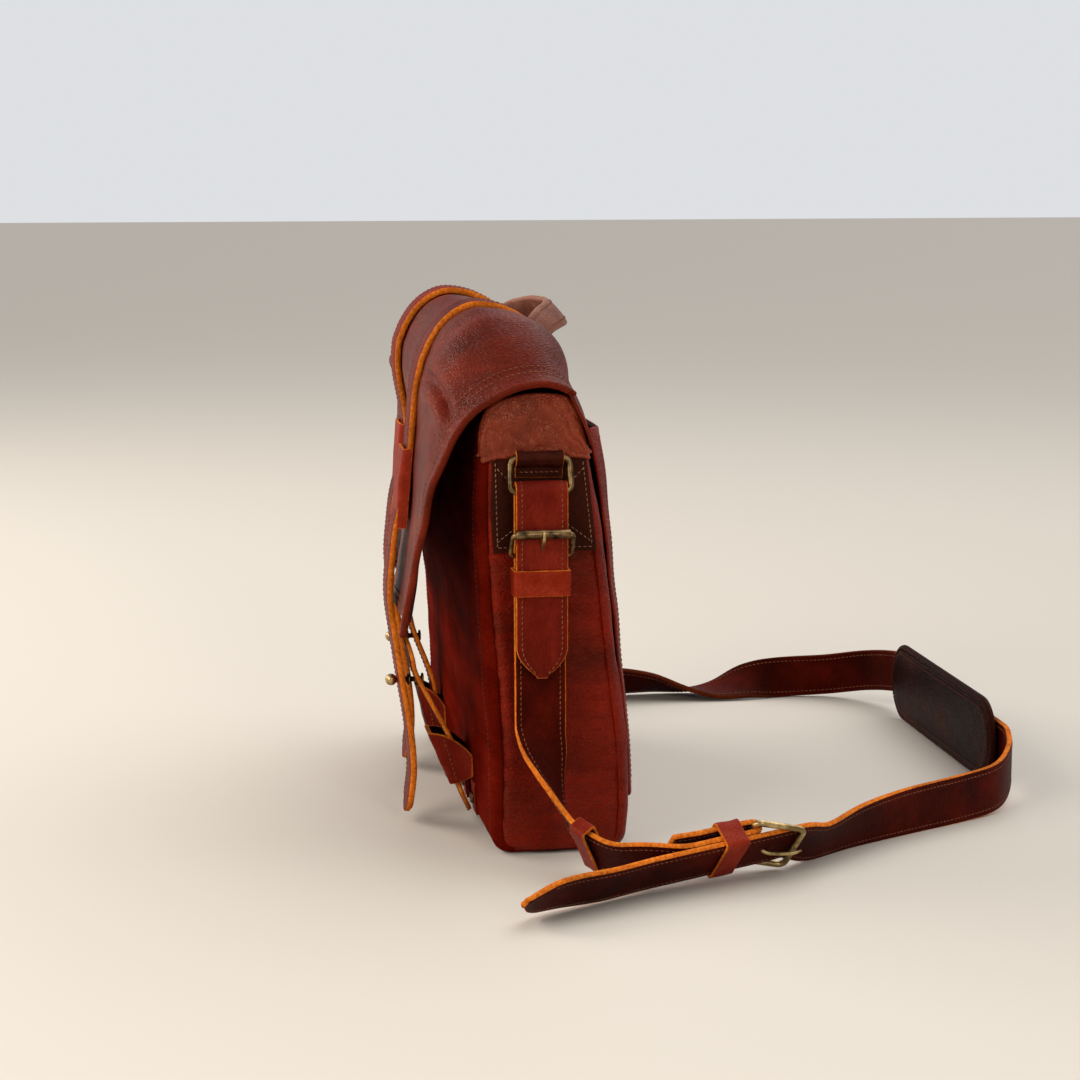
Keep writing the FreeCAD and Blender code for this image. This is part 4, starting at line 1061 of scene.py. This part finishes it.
def flap():
    flap_root()
    g = flap_grid()
    sheet("flap_leather", g, 3.0, BEND, FLAP, INSIDE, FLAP, ROLLED, sharp=False, replaces=("flap_top", "flap_front"),
          slot="body_leather")
    n = grid_normals(g)
    runs = []
    for inset in (7.4, 11.6):
        for side in (1, -1):
            q = int(np.argmin(np.abs(g[:, 60, 0] - side * (182 - inset))))
            runs.append((g[q, 3:-2], n[q, 3:-2]))
    for row in (-3, -5):
        runs.append((g[3:-3, row], n[3:-3, row]))
    stitches("flap_edge_stitching", runs, BEND, TAN_THREAD, pitch=3.6)
    piping = g.copy()
    for sign in (1, -1):
        tag = "near" if sign > 0 else "far"
        row = 0 if g[0, 0, 0] * sign > 0 else -1
        edge = piping[row, 2:] - n[row, 2:] * 2.2
        tube("flap_rolled_edge_" + tag, edge, 2.6, BEND, FLAP, sides=12)
    under = g[:, 66:-4] - n[:, 66:-4] * 3.2
    sheet("flap_lining_cloth", under[4:-4], 0.9, BEND, LINING, INSIDE, LINING, sharp=False, replaces=("flap_lining",),
          slot="lining")


# ---------------------------------------------------------------- stud tabs
def stud_tab(sign):
    tag = "near" if sign > 0 else "far"
    x = sign * CLOSURE_X
    outer = np.array([(-91.8, 126.2), (-88.6, 114), (-85.2, 101.0), (-67.6, 67.0), (-57.6, 45.0), (-57.2, 30.0)])
    dy = 0 if sign > 0 else FAR_TUCK
    outer[:, 0] += dy * ease((outer[:, 1] - 30) / 60)
    outer = even(curve(outer, 8), 2.0)
    s = np.linspace(0, 1, len(outer))
    left = s * np.sum(np.linalg.norm(np.diff(outer, axis=0), axis=1))
    width = np.where(left < 13, np.sqrt(np.maximum(169 - (13 - left) ** 2, 16)) * 2, 26.0)
    how = ("stud_tab_" + tag, "bag_body", (0, -68, 62), (0, -58, 40))
    g, obj = strap_from_profile("stud_tab_leather_" + tag, outer, x, width, 3.0, how, (STRAP, FLESH, RAW),
                                replaces=("stud_tab_" + tag,))
    runs = [line_on(g[5:], q) for q in (0.13, 0.87)]
    stitches("stud_tab_stitching_" + tag, runs, how, TAN_THREAD)
    ball = [(-78.2, 0.4), (-78.3, 3.6), (-79.0, 4.2), (-79.8, 3.6), (-80.0, 1.8), (-87.2, 1.8), (-87.3, 3.8),
            (-88.2, 4.2), (-89.3, 3.7), (-89.6, 1.9), (-95.6, 1.8)]
    for a in np.radians(np.linspace(28, 176, 12)):
        ball.append((-100.3 + 4.0 * math.cos(a), 4.0 * math.sin(a)))
    lathe("ball_stud_brass_" + tag, ball, (x, dy, 98.0), (0, 1, 0), "stud_tab_" + tag, BRIGHT,
          replaces=("ball_stud_" + tag,), slot="brass")


def tab_holder(sign):
    """Loop round the stud tab, sewn to the front panel, and the tab's foot that runs on below it."""
    tag = "near" if sign > 0 else "far"
    x = sign * CLOSURE_X
    lip = 0.0 if sign > 0 else 9.0
    us = np.linspace(-1, 1, 45)
    deep = ease((np.abs(us) - 0.64) / 0.36) ** 0.9
    half = 19.0 + 1.0 * deep
    vs = np.linspace(0, 1, 22)[:, None]
    z = (62 - 15 * deep ** 2.4) * (1 - vs) + (27 + 6 * deep ** 1.6) * vs
    front_y = (lip - 76.5) * (1 - vs) + (0.3 * lip - 62.0) * vs
    g = np.zeros((len(vs), len(us), 3))
    g[:, :, 0] = x + us * half
    g[:, :, 1] = front_y + (side_at(FRONT_C, z) - 3.0 - front_y) * deep
    g[:, :, 2] = z
    g[:, :, 1] += 0.5 * ripple(g, 14, 81)
    g = facing(g, (0, -1, 0))
    sheet("tab_holder_leather_" + tag, g, 2.6, "bag_body", STRAP, INSIDE, RAW,
          replaces=("tab_holder_" + tag,), slot="strap_leather")
    n = grid_normals(g)
    runs = [(g[1:-1, c], n[1:-1, c]) for c in (5, -6)]
    stitches("tab_holder_stitching_" + tag, runs, "bag_body", TAN_THREAD)
    foot = even(curve([(0.3 * lip - 60.0, 33), (-57.0, 24), (-53.4, 15), (-50.5, 9), (-49.0, 5.5)], 6), 1.6)
    left = np.linspace(1, 0, len(foot)) * np.sum(np.linalg.norm(np.diff(foot, axis=0), axis=1))
    width = np.where(left < 11, np.sqrt(np.maximum(121 - (11 - left) ** 2, 16)) / 11 * 26, 26.0)
    strap_from_profile("stud_tab_foot_" + tag, foot, x, width, 3.0, "bag_body", (STRAP, FLESH, RAW))
    for part, ear in (("a", -1), ("b", 1)):
        zs, xs = np.linspace(31, 9, 12), np.linspace(17, 30, 9)
        e = np.zeros((len(zs), len(xs), 3))
        e[:, :, 0] = x + ear * xs
        e[:, :, 2] = zs[:, None]
        reach = 4.5 * (1 - np.abs(e[:, :, 0] / HALF) ** 4) * np.sin(np.pi * (e[:, :, 2] - 4) / 276) ** 0.8
        e[:, :, 1] = side_at(FRONT_C, e[:, :, 2]) - reach - 1.8
        top = e[5, 4, 1]
        sheet("holder_ear_%s_%s" % (part, tag), facing(e, (0, -1, 0)), 2.0, "bag_body", STRAP, INSIDE)
        dome = [(0.0, 4.0), (-0.9, 4.0), (-1.6, 3.2), (-2.1, 1.8), (-2.3, 0.3)]
        lathe("holder_rivet_%s_%s" % (part, tag), dome, (x + ear * 24, top, 20), (0, 1, 0), "bag_body", BRASS,
              slot="brass")


# ---------------------------------------------------------------- strap on the floor
LEAN = math.radians(41.0)
BUCKLE_AT = vec(254.0, 108.0, 18.9)
OUTWARD = vec(0.9368, 0.35, 0)
ALONG = vec(-0.3494, 0.9352, 0.0575)
RISE = np.cross(OUTWARD, ALONG)
ACROSS = OUTWARD * math.sin(LEAN) + RISE * math.cos(LEAN)
FACE = OUTWARD * math.cos(LEAN) - RISE * math.sin(LEAN)


def at(s, n=0.0, w=0.0):
    """A point beside the buckle: along the strap, out of its face, across its width."""
    return BUCKLE_AT + ALONG * s + FACE * n + ACROSS * w


def leaning(x, y, run, lean, z=None, width=STRAP_W):
    run = unit(vec(run[0], run[1], 0))
    outside = vec(run[1], -run[0], 0)
    a = math.radians(lean)
    across = outside * math.sin(a) + UP * math.cos(a)
    if z is None:
        z = abs(math.cos(a)) * STRAP_W / 2 + abs(math.sin(a)) * STRAP_T / 2 + 0.3
    return (vec(x, y, z), across, width)


def stations_to_grid(stations, cols=9, spacing=3.0, t=STRAP_T, tip=0.0):
    """Outer face grid of a strap through stations of middle point, width direction and width."""
    flat = np.array([np.concatenate([p, unit(a) * 40, [w]]) for p, a, w in stations])
    fine = curve(flat, 10)
    fine = even(fine, spacing)
    mid, across, width = fine[:, :3], unit(fine[:, 3:6]), fine[:, 6]
    if tip:
        s = np.concatenate([[0], np.cumsum(np.linalg.norm(np.diff(mid, axis=0), axis=1))])
        width = pointed(s, STRAP_W, tip)
    g = strap_grid(mid, across, width, cols)
    return g + grid_normals(g) * (t / 2), mid


def near_strap_stations():
    x = 182.6 + STRAP_T / 2
    w = STRAP_W
    front = vec(0, -1, 0)
    hang = [(vec(181.0, STRAP_Y, 236), front, w), (vec(181.2, STRAP_Y, 200), front, w),
            (vec(182.0, STRAP_Y, 150), front, w), (vec(184.0, STRAP_Y, 112), front, w)]
    run = [(vec(x, STRAP_Y, 90.5), front, w), (vec(x + 1.0, STRAP_Y, 84), vec(0.15, -1, 0), w),
           (vec(190, -13.5, 72), vec(0.45, -0.9, 0), w), (vec(198, -11, 56), vec(0.85, -0.5, 0), w),
           (vec(210, -6, 39), vec(1, -0.1, 0.05), w), (vec(228, 3, 25), vec(0.95, 0, 0.3), w),
           (vec(246, 14, 18.5), vec(0.8, 0.05, 0.6), w), (vec(259, 28, 17.2), vec(0.72, 0.05, 0.7), w),
           (at(-65, -8.4, -1.5), ACROSS, w), (at(-50, -4.1), ACROSS, w), (at(-25, -3.9), ACROSS, w),
           (at(-2, -3.9), ACROSS, w)]
    r = 3.95
    turn = [(at(r * math.sin(a), -7.85 + r * math.cos(a)), ACROSS, w) for a in np.radians([30, 70, 110, 150])]
    back = [(at(s, n), ACROSS, w) for s, n in ((-4, -11.9), (-20, -12.2), (-38, -12.0), (-52, -12.8), (-57, -13.0))]
    return hang + run + turn + back


def far_strap_stations():
    w = STRAP_W
    tip = [leaning(334, -48, (-26, 32), 45, 16.5), leaning(322, -34, (-26, 32), 45, 15.8),
           leaning(310, -17, (-22, 32), 43, 15), leaning(297, 8, (-14, 32), 41, 14)]
    straight = [(at(s), ACROSS, w) for s in (-76, -62, -38, -18, 0, 16, 34)]
    bend = [leaning(224, 160, (-22, 32), 34), leaning(196, 194, (-24, 32), 20), leaning(168, 236, (-18, 32), 6),
            leaning(141, 284, (-18, 34), 0, 16.8), leaning(123, 313, (-22, 22), 0, 19),
            leaning(99, 330, (-30, 12), 0, 25), leaning(72, 338.6, (-30, 4), 0, 30)]
    pad = [(vec(x, 340, 31), UP, w) for x in (50, 0, -60, -120, -192)]
    away = [leaning(-214, 336.5, (-30, -6), 0, 29.5), leaning(-238, 322, (-20, -18), 0, 25),
            leaning(-256, 296, (-12, -28), 0, 19), leaning(-264, 262, (-3, -32), 12),
            leaning(-266, 232, (0, -32), 45, 13.5), leaning(-268, 205, (-3, -32), 78, 6.5),
            leaning(-272, 180, (-5, -32), 104, 6.5), leaning(-276, 150, (-3, -32), 126, 12),
            leaning(-275, 118, (5, -32), 140, 14.5), leaning(-264, 84, (14, -30), 152, 16),
            leaning(-244, 50, (22, -26), 164, 17.2)]
    x = 182.6 + STRAP_T / 2
    rise = [(vec(-220, 20, 24), vec(0, -0.35, -0.95), w), (vec(-202, 0, 39), vec(0, -0.75, -0.65), w),
            (vec(-190, -12, 62), vec(0, -0.97, -0.25), w), (vec(-x - 0.4, STRAP_Y, 82), vec(0, -1, 0), w),
            (vec(-x, STRAP_Y, 90.5), vec(0, -1, 0), w), (vec(-184.0, STRAP_Y, 112), vec(0, -1, 0), w),
            (vec(-182.0, STRAP_Y, 150), vec(0, -1, 0), w), (vec(-181.2, STRAP_Y, 200), vec(0, -1, 0), w),
            (vec(-181.0, STRAP_Y, 236), vec(0, -1, 0), w)]
    return tip + straight + bend + pad + away + rise


SWING = ("bag_body", "shoulder_strap", (0, STRAP_Y, 134), (0, STRAP_Y, 92))


def shoulder_strap():
    g, mid = stations_to_grid(near_strap_stations())
    obj = sheet("strap_short_leather", g, STRAP_T, None, DARK, DARK, RAW)
    cut_holes(obj, [(at(0.5, -7.85), FACE, ALONG, 2.3, 8.0)])
    attach(obj, SWING)
    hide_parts("strap_short")
    n = grid_normals(g)
    runs = []
    for share in (0.1, 0.9):
        p, q = line_on(g, share, n)
        runs.append((p[2:], q[2:]))
        runs.append((p[2:] - q[2:] * STRAP_T, -q[2:]))
    stitches("strap_short_stitching", runs, SWING, TAN_THREAD)
    g, mid = stations_to_grid(far_strap_stations(), tip=26.0)
    # the long strap's edge uses the raw edge material with painted shade towards the far end
    obj = sheet("strap_long_leather", g, STRAP_T, None, DARK, DARK, RAW_SHADED)
    holes = [(at(s), FACE, ALONG, 1.8, 1.8) for s in (-32, -52, -72)]
    holes.append((at(7.5), FACE, ALONG, 2.2, 5.4))
    for s in (24, 44):
        holes.append((at(s), FACE, ALONG, 1.8, 1.8))
    cut_holes(obj, holes)
    attach(obj, SWING)
    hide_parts("strap_long")
    n = grid_normals(g)
    runs = []
    for share in (0.1, 0.9):
        p, q = line_on(g, share, n)
        runs.append((p[6:-2], q[6:-2]))
        runs.append((p[6:-2] - q[6:-2] * STRAP_T, -q[6:-2]))
    stitches("strap_long_stitching", runs, SWING, TAN_THREAD)


def floor_buckle():
    s, n, half = 30.0, 4.4, 19.7
    loop = rounded_loop([at(0, -7.85, -half), at(s, n, -half), at(s, n, half), at(0, -7.85, half)], 5.0)
    tube("strap_buckle_brass", loop, 2.1, "shoulder_strap", BRIGHT, closed=True, replaces=("strap_buckle",),
         slot="brass")
    prong = curve([at(-1.6, -10.4), at(-3.4, -7.6), at(-0.6, -4.2), at(3.4, -4.3), at(6.0, -2.0), at(9.4, 3.5),
                   at(18, 6.4), at(27, 8.3), at(34, 7.5)], 6)
    r = np.interp(np.linspace(0, 1, len(prong)), (0, 0.85, 1), (1.5, 1.4, 0.8))
    tube("strap_prong_brass", prong, r, "strap_prong", BRIGHT, replaces=("strap_prong",), slot="brass")
    n0, n1 = -11.8 - STRAP_T / 2 - 2.3, STRAP_T / 2 + 2.3
    band_loop("strap_keeper_leather", at(-18, (n0 + n1) / 2), FACE, ACROSS, ALONG, (n1 - n0) / 2, STRAP_W / 2 + 2.3,
              16, 1.9, "strap_keeper", (KEEPER, FLESH, RAW), corner=3.0, replaces=("strap_keeper",),
              slot="strap_leather")
    run = unit(vec(0.83, 0.49, -0.26))
    across = vec(0.88, 0.02, 0.46)
    side = unit(across - run * (across @ run))
    out = np.cross(run, side)
    band_loop("loose_keeper_leather", (237.5, 8.2, 21.6), out, side, run, 5.7, 20.2, 13, 1.8, "loose_keeper",
              (KEEPER, FLESH, RAW), corner=3.0, replaces=("strap_keeper_loose",), slot="strap_leather")


def soft_simulation(obj, cell, pressure, frames=20, limit=3.0, pin=None):
    """Puffs a closed shell with pressure. Points outside pin's test stay put and no point moves past the limit."""
    mod = obj.modifiers.new("remesh", "REMESH")
    mod.mode, mod.voxel_size = "VOXEL", cell * MM
    deps = bpy.context.evaluated_depsgraph_get()
    mesh = bpy.data.meshes.new_from_object(obj.evaluated_get(deps))
    obj.modifiers.clear()
    obj.data = mesh
    rest = np.array([v.co for v in mesh.vertices]) / MM
    group = obj.vertex_groups.new(name="pin")
    for i in np.nonzero(pin(rest))[0]:
        group.add([int(i)], 1.0, "REPLACE")
    c = obj.modifiers.new("cloth", "CLOTH")
    c.settings.quality = 5
    c.settings.mass = 0.15
    c.settings.tension_stiffness = 12
    c.settings.compression_stiffness = 12
    c.settings.bending_stiffness = 0.6
    c.settings.use_pressure = True
    c.settings.uniform_pressure_force = pressure
    c.settings.effector_weights.gravity = 0
    c.settings.vertex_group_mass = "pin"
    c.point_cache.frame_start, c.point_cache.frame_end = 1, frames
    scene = bpy.context.scene
    for f in range(1, frames + 1):
        scene.frame_set(f)
    deps = bpy.context.evaluated_depsgraph_get()
    moved = bpy.data.meshes.new_from_object(obj.evaluated_get(deps))
    obj.modifiers.clear()
    scene.frame_set(1)
    now = np.array([v.co for v in moved.vertices]) / MM
    step = now - rest
    length = np.linalg.norm(step, axis=1, keepdims=True)
    step = step * np.minimum(1, limit / np.maximum(length, 1e-9))
    mesh.vertices.foreach_set("co", ((rest + step) * MM).ravel())
    mesh.polygons.foreach_set("use_smooth", [True] * len(mesh.polygons))
    mesh.update()
    sub = obj.modifiers.new("smooth", "SUBSURF")
    sub.levels = sub.render_levels = 1
    return obj


def capsule_shell(x0, x1, z0, z1, y0, y1, inset=1.2):
    """Closed slab with round ends as verts and faces; it lies in the XZ plane."""
    cz, r = (z0 + z1) / 2, (z1 - z0) / 2
    loop = []
    for k in range(24):
        a = math.pi / 2 + math.pi * k / 24
        loop.append((x0 + r + r * math.cos(a), cz + r * math.sin(a)))
    for k in range(24):
        a = -math.pi / 2 + math.pi * k / 24
        loop.append((x1 - r + r * math.cos(a), cz + r * math.sin(a)))
    n = len(loop)
    verts = [(x, y, z) for y in (y0, y1) for x, z in loop]
    faces = [(k, (k + 1) % n, n + (k + 1) % n, n + k) for k in range(n)]
    faces += [tuple(range(n - 1, -1, -1)), tuple(range(n, 2 * n))]
    return verts, faces, loop


def shoulder_pad():
    verts, faces, loop = capsule_shell(-185.0, 55.0, 3.2, 59.0, 330.6, 336.6)
    obj = piece("shoulder_pad_leather", verts, faces, None, [PAD])
    def rim(p):
        x = np.clip(p[:, 0], -157, 27)
        d = np.hypot(p[:, 0] - x, p[:, 2] - 31)
        return d > 23.5
    soft_simulation(obj, 4.0, 4.0, limit=2.4, pin=rim)
    attach(obj, "shoulder_pad")
    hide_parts("shoulder_pad")
    ring = np.array([(x, 333.8, z) for x, z in loop])
    ring = even(np.vstack([ring, ring[:1]]), 3.0)[:-1]
    tube("shoulder_pad_rim", ring, 2.7, "shoulder_pad", PAD, closed=True, sides=12)
    inner = capsule_shell(-180.5, 50.5, 7.8, 54.4, 0, 0)[2]
    p = np.array([(x, 329.7, z) for x, z in inner])
    p = np.vstack([p, p[:1]])
    other = p + vec(0, 8.0, 0)
    other = other[np.argsort(other[:, 0])]
    runs = [(p, np.tile(vec(0, -1, 0), (len(p), 1)))]
    for q in (other[other[:, 2] > 50.5], other[other[:, 2] < 11.5]):
        runs.append((q, np.tile(vec(0, 1, 0), (len(q), 1))))
    stitches("shoulder_pad_stitching", runs, "shoulder_pad", DARK_THREAD)
    for k, x in enumerate((-140.0, 4.0)):
        band_loop("pad_loop_leather_%d" % (k + 1), (x, 340.6, 31), (0, 1, 0), (0, 0, 1), (1, 0, 0), 4.4, 19.2, 18, 2.0,
                  "shoulder_pad", (PAD, FLESH, RAW), corner=3.0)


# ---------------------------------------------------------------- handle
def carry_handle():
    stations = [(-64, -1.2, 336.7), (-52, 6, 341.5), (-30, 16.5, 344.5), (0, 20.5, 344), (30, 16.5, 344.5),
                (52, 6, 341.5), (64, -1.2, 336.7)]
    across = unit(vec(0, 0.66, -0.75))
    out = unit(vec(0, 0.75, 0.66))
    mid = even(curve(stations, 10), 2.2) + across * 4.0
    mid[:, 2] += 0.5 * ripple(mid, 30, 91)
    r_long = 12.4 - 2.5 * np.abs(mid[:, 0]) / 66
    sides = 26
    angle = np.linspace(0, 2 * math.pi, sides + 1)[:-1]
    verts = []
    for p, a in zip(mid, r_long):
        for q in angle:
            c, s = math.cos(q), math.sin(q)
            c = math.copysign(abs(c) ** 0.8, c)
            ridge = 0.5 if abs(c) > 0.8 else 0
            verts.append(p + across * a * c + out * (3.0 + ridge) * math.copysign(abs(s) ** 0.75, s))
    faces = []
    n = len(mid)
    for i in range(n - 1):
        for k in range(sides):
            m = (k + 1) % sides
            faces.append((i * sides + k, i * sides + m, (i + 1) * sides + m, (i + 1) * sides + k))
    faces += [tuple(range(sides - 1, -1, -1)), tuple((n - 1) * sides + k for k in range(sides))]
    piece("carry_handle_leather", verts, faces, HANDLE_HOW, [HANDLE], replaces=("carry_handle",), slot="handle_leather")
    runs = []
    for c, o in ((0.62, 2.9), (-0.62, 2.9)):
        p = mid + across * (r_long * c)[:, None] + out * (o - 0.1)
        runs.append((p, np.tile(out, (len(p), 1))))
    stitches("carry_handle_stitching", runs, HANDLE_HOW, TAN_THREAD)
    top = curve(FLAP_TOP_MID, 8)
    part = top[(top[:, 0] < 5.5) & (top[:, 0] > -10.8)]
    for k, x in enumerate((-65, 65)):
        g, _ = strap_from_profile("handle_tab_leather_%d" % (k + 1), part + vec(0.9, 1.2), x, 26.0, 1.6, "flap_top",
                                  (HANDLE, FLESH, RAW), slot="handle_leather",
                                  replaces=("handle_tabs",) if k == 0 else ())
        p, q = line_on(g, 0.14)
        p2, q2 = line_on(g, 0.86)
        stitches("handle_tab_stitching_%d" % (k + 1), [(p, q), (p2, q2)], "flap_top", TAN_THREAD)


HANDLE_HOW = "handle"


# ---------------------------------------------------------------- pocket and inside
def back_pocket():
    flare = [3.2, 3.4, 4.0, 5.6, 8.6, 10.5]
    seam = [(45.5, 34), (43.0, 80), (37.4, 124), (28.5, 201), (20.5, 250), (15.6, 273)]
    path = even(curve([(y + f + 2.2, z + 0.3 * f) for (y, z), f in zip(seam, flare)], 10), 3.0)
    xs = np.linspace(-164, 164, 90)
    g = np.zeros((len(path), len(xs), 3))
    hug = 1 - np.clip((np.abs(xs) - 150) / 14, 0, 1) ** 2
    base = np.interp(path[:, 1], [p[1] for p in seam], [p[0] for p in seam])
    g[:, :, 0] = xs[None, :]
    g[:, :, 1] = base[:, None] + 1.8 + (path[:, 0] - base - 1.8)[:, None] * (0.35 + 0.65 * hug)[None, :]
    g[:, :, 2] = path[:, 1][:, None]
    up = ease((path[:, 1] - 30) / 240)
    g[:, :, 1] += 0.7 * ripple(g, 50, 101) + 1.6 * (up[:, None] ** 2) * np.sin(xs / 55)[None, :] * hug[None, :]
    sag = 1.6 * np.cos(xs / 150 * math.pi / 2) * -1
    g[:, :, 2] += (up[:, None] ** 3) * sag[None, :]
    n = grid_normals(g)
    if n[20, 40, 1] < 0:
        g = g[:, ::-1]
        n = grid_normals(g)
    sheet("back_pocket_leather", g, 2.2, "bag_body", BODY, LINING, BODY, ROLLED, sharp=False,
          replaces=("back_pocket",), slot="body_leather")
    runs = [(g[3:-2, c], n[3:-2, c]) for c in (2, -3)] + [(g[2, 2:-2], n[2, 2:-2]), (g[-3, 2:-2], n[-3, 2:-2])]
    stitches("back_pocket_stitching", runs, "bag_body", TAN_THREAD)
    lining = g[3:, 5:-5] - n[3:, 5:-5] * 2.5
    lining[:, :, 2] = np.minimum(lining[:, :, 2], 276)
    sheet("back_pocket_lining_cloth", lining, 0.7, "bag_body", LINING, LINING, replaces=("back_pocket_lining",),
          slot="lining")


def ring_section(inset, z, half_x, corner=9.0):
    """Closed outline of the inside of the body at a height, pulled in by an inset."""
    lo = float(side_at(FRONT_C, min(max(z, 20), 281))) + inset
    hi = float(side_at(BACK_C, min(max(z, 20), 290))) - inset
    loop = rounded_loop([(-half_x, lo, z), (half_x, lo, z), (half_x, hi, z), (-half_x, hi, z)], corner, 6)
    loop = np.vstack([loop, loop[:1]])
    s = np.linspace(0, len(loop) - 1, 221)
    return np.stack([np.interp(s, range(len(loop)), loop[:, j]) for j in range(3)], 1)


def walls(name, inset, half_x, z0, z1, t, mats, soft, seed, how="bag_body", **more):
    zs = np.linspace(z0, z1, 40)
    g = np.stack([ring_section(inset, z, half_x) for z in zs], 1)
    n = grid_normals(g)
    n[0] = n[-1] = unit(n[0] + n[-1])
    g = g - n * (1.0 + ripple(g, 35, seed)[:, :, None]) * soft
    g[-1] = g[0]
    n = grid_normals(g)
    middle = vec(0, -8, g[20, 20, 2])
    if np.sum(n[20, 20] * (g[20, 20] - middle)) < 0:
        g = g[:, ::-1]
    return sheet(name, g, t, how, *mats, closed=True, **more)


def floor_sheet(name, x, y0, y1, z, t, mat, **more):
    xs = np.linspace(-x, x, 50)
    ys = np.linspace(y0, y1, 20)
    g = np.zeros((len(xs), len(ys), 3))
    g[:, :, 0] = xs[:, None]
    g[:, :, 1] = ys[None, :]
    g[:, :, 2] = z + 0.15 * ripple(g, 30, 111)
    return sheet(name, g, t, "bag_body", mat, mat, mat, **more)


def inside():
    walls("body_lining_cloth", 3.4, 170.0, 6.4, 278, 0.8, (LINING, LINING, LINING), 0.25, 121,
          replaces=("body_lining",), slot="lining")
    floor_sheet("body_lining_floor", 168, -40, 40, 7.0, 0.8, LINING)
    floor_sheet("base_board_fibre", 166, -39, 39, 5.4, 2.2, BOARD, replaces=("base_board",), slot="board")
    walls("padded_insert_wall", 5.0, 168.0, 9.5, 251, 6.5, (FOAM, FOAM, FOAM), 0.5, 122, rim=ROLLED,
          replaces=("padded_insert",), slot="foam")
    floor_sheet("padded_insert_floor", 162, -32, 32, 13.5, 6.0, FOAM)
    pair(divider)


def divider(sign):
    tag = "near" if sign > 0 else "far"
    lo, hi = (np.array(c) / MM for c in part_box("divider_" + tag))
    cx = (lo[0] + hi[0]) / 2
    z0, z1 = lo[2] + 0.8, hi[2] - 0.8
    zs = np.linspace(z0, z1, 46)
    front = side_at(FRONT_C, zs) + 14.0
    back = side_at(BACK_C, zs) - 14.0
    outline = [(y, z) for y, z in zip(front, zs)] + [(y, z) for y, z in zip(back[::-1], zs[::-1])]
    n = len(outline)
    verts = [(cx + d, y, z) for d in (-2.8, 2.8) for y, z in outline]
    faces = [(k, (k + 1) % n, n + (k + 1) % n, n + k) for k in range(n)]
    faces += [tuple(range(n - 1, -1, -1)), tuple(range(n, 2 * n))]
    obj = piece("divider_pad_" + tag, verts, faces, None, [FOAM])

    def rim(p):
        f = side_at(FRONT_C, p[:, 2]) + 18.0
        b = side_at(BACK_C, p[:, 2]) - 18.0
        return (p[:, 1] < f) | (p[:, 1] > b) | (p[:, 2] < z0 + 4) | (p[:, 2] > z1 - 4)

    soft_simulation(obj, 5.0, 4.0, limit=1.0, pin=rim)
    attach(obj, "divider_" + tag)
    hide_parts("divider_" + tag)


# ---------------------------------------------------------------- build
def build():
    body_shell()
    for sign in (1, -1):
        gusset(sign)
        gusset_cap(sign)
        ring_patch(sign)
        ring_and_sleeve(sign)
        strap_end(sign)
        end_buckle(sign)
        end_keeper(sign)
        closure_strap(sign)
        flap_loop(sign)
        stud_tab(sign)
        tab_holder(sign)
    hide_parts("holder_rivets")
    flap()
    shoulder_strap()
    floor_buckle()
    shoulder_pad()
    carry_handle()
    back_pocket()
    inside()


def area(name, at_m, size, power, colour, target=(0, 0, 0.16)):
    data = bpy.data.lights.new(name, "AREA")
    data.shape, data.size, data.size_y = "RECTANGLE", size[0], size[1]
    data.energy, data.color = power, colour
    obj = bpy.data.objects.new(name, data)
    obj.location = at_m
    obj.rotation_mode = "QUATERNION"
    obj.rotation_quaternion = (Vector(target) - Vector(at_m)).to_track_quat("-Z", "Y")
    bpy.context.scene.collection.objects.link(obj)


def studio():
    n = 3
    half = 12.0
    verts = [(half * (2 * i / n - 1), half * (2 * j / n - 1), 0) for i in range(n + 1) for j in range(n + 1)]
    faces = [(i * (n + 1) + j, (i + 1) * (n + 1) + j, (i + 1) * (n + 1) + j + 1, i * (n + 1) + j + 1)
             for i in range(n) for j in range(n)]
    mesh = bpy.data.meshes.new("studio_floor")
    mesh.from_pydata(verts, [], faces)
    m, t, bsdf = blank("studio_floor")
    bsdf.inputs["Base Color"].default_value = (*srgb(206, 197, 184), 1)
    bsdf.inputs["Roughness"].default_value = 0.6
    mesh.materials.append(m)
    floor = bpy.data.objects.new("studio_floor", mesh)
    bpy.context.scene.collection.objects.link(floor)
    world = bpy.data.worlds.new("studio")
    world.use_nodes = True
    back = world.node_tree.nodes["Background"]
    back.inputs[0].default_value = (*srgb(222, 224, 228), 1)
    path = world.node_tree.nodes.new("ShaderNodeLightPath")
    power = node(world.node_tree, "ShaderNodeMapRange")
    power.inputs["To Min"].default_value = 0.4
    power.inputs["To Max"].default_value = 1.0
    world.node_tree.links.new(path.outputs["Is Camera Ray"], power.inputs[0])
    world.node_tree.links.new(power.outputs[0], back.inputs[1])
    bpy.context.scene.world = world
    bpy.context.scene.view_settings.view_transform = "Standard"
    area("window_left", (-1.1, -1.9, 1.35), (1.7, 1.5), 46, (1.0, 0.96, 0.91))
    area("side_fill", (1.3, -1.9, 1.3), (1.6, 1.2), 32, (1.0, 0.96, 0.9))
    area("camera_side", (2.2, 0.45, 1.0), (0.5, 0.8), 9, (1.0, 0.96, 0.9))
    area("top_back", (-1.4, 1.0, 1.8), (1.6, 1.2), 8, (0.95, 0.97, 1.0))
    sun = bpy.data.lights.new("soft_day", "SUN")
    sun.energy, sun.angle = 1.7, math.radians(70)
    day = bpy.data.objects.new("soft_day", sun)
    day.rotation_euler = (math.radians(-28), math.radians(-14), 0)
    bpy.context.scene.collection.objects.link(day)
    cam_data = bpy.data.cameras.new("camera")
    cam_data.lens, cam_data.sensor_width = 85.67, 36.0
    cam = bpy.data.objects.new("camera", cam_data)
    cam.location = (1.77704, -0.26748, 0.464)
    cam.rotation_euler = (math.radians(81.0), 0, math.radians(81.0))
    bpy.context.scene.collection.objects.link(cam)
    bpy.context.scene.camera = cam


build()
studio()
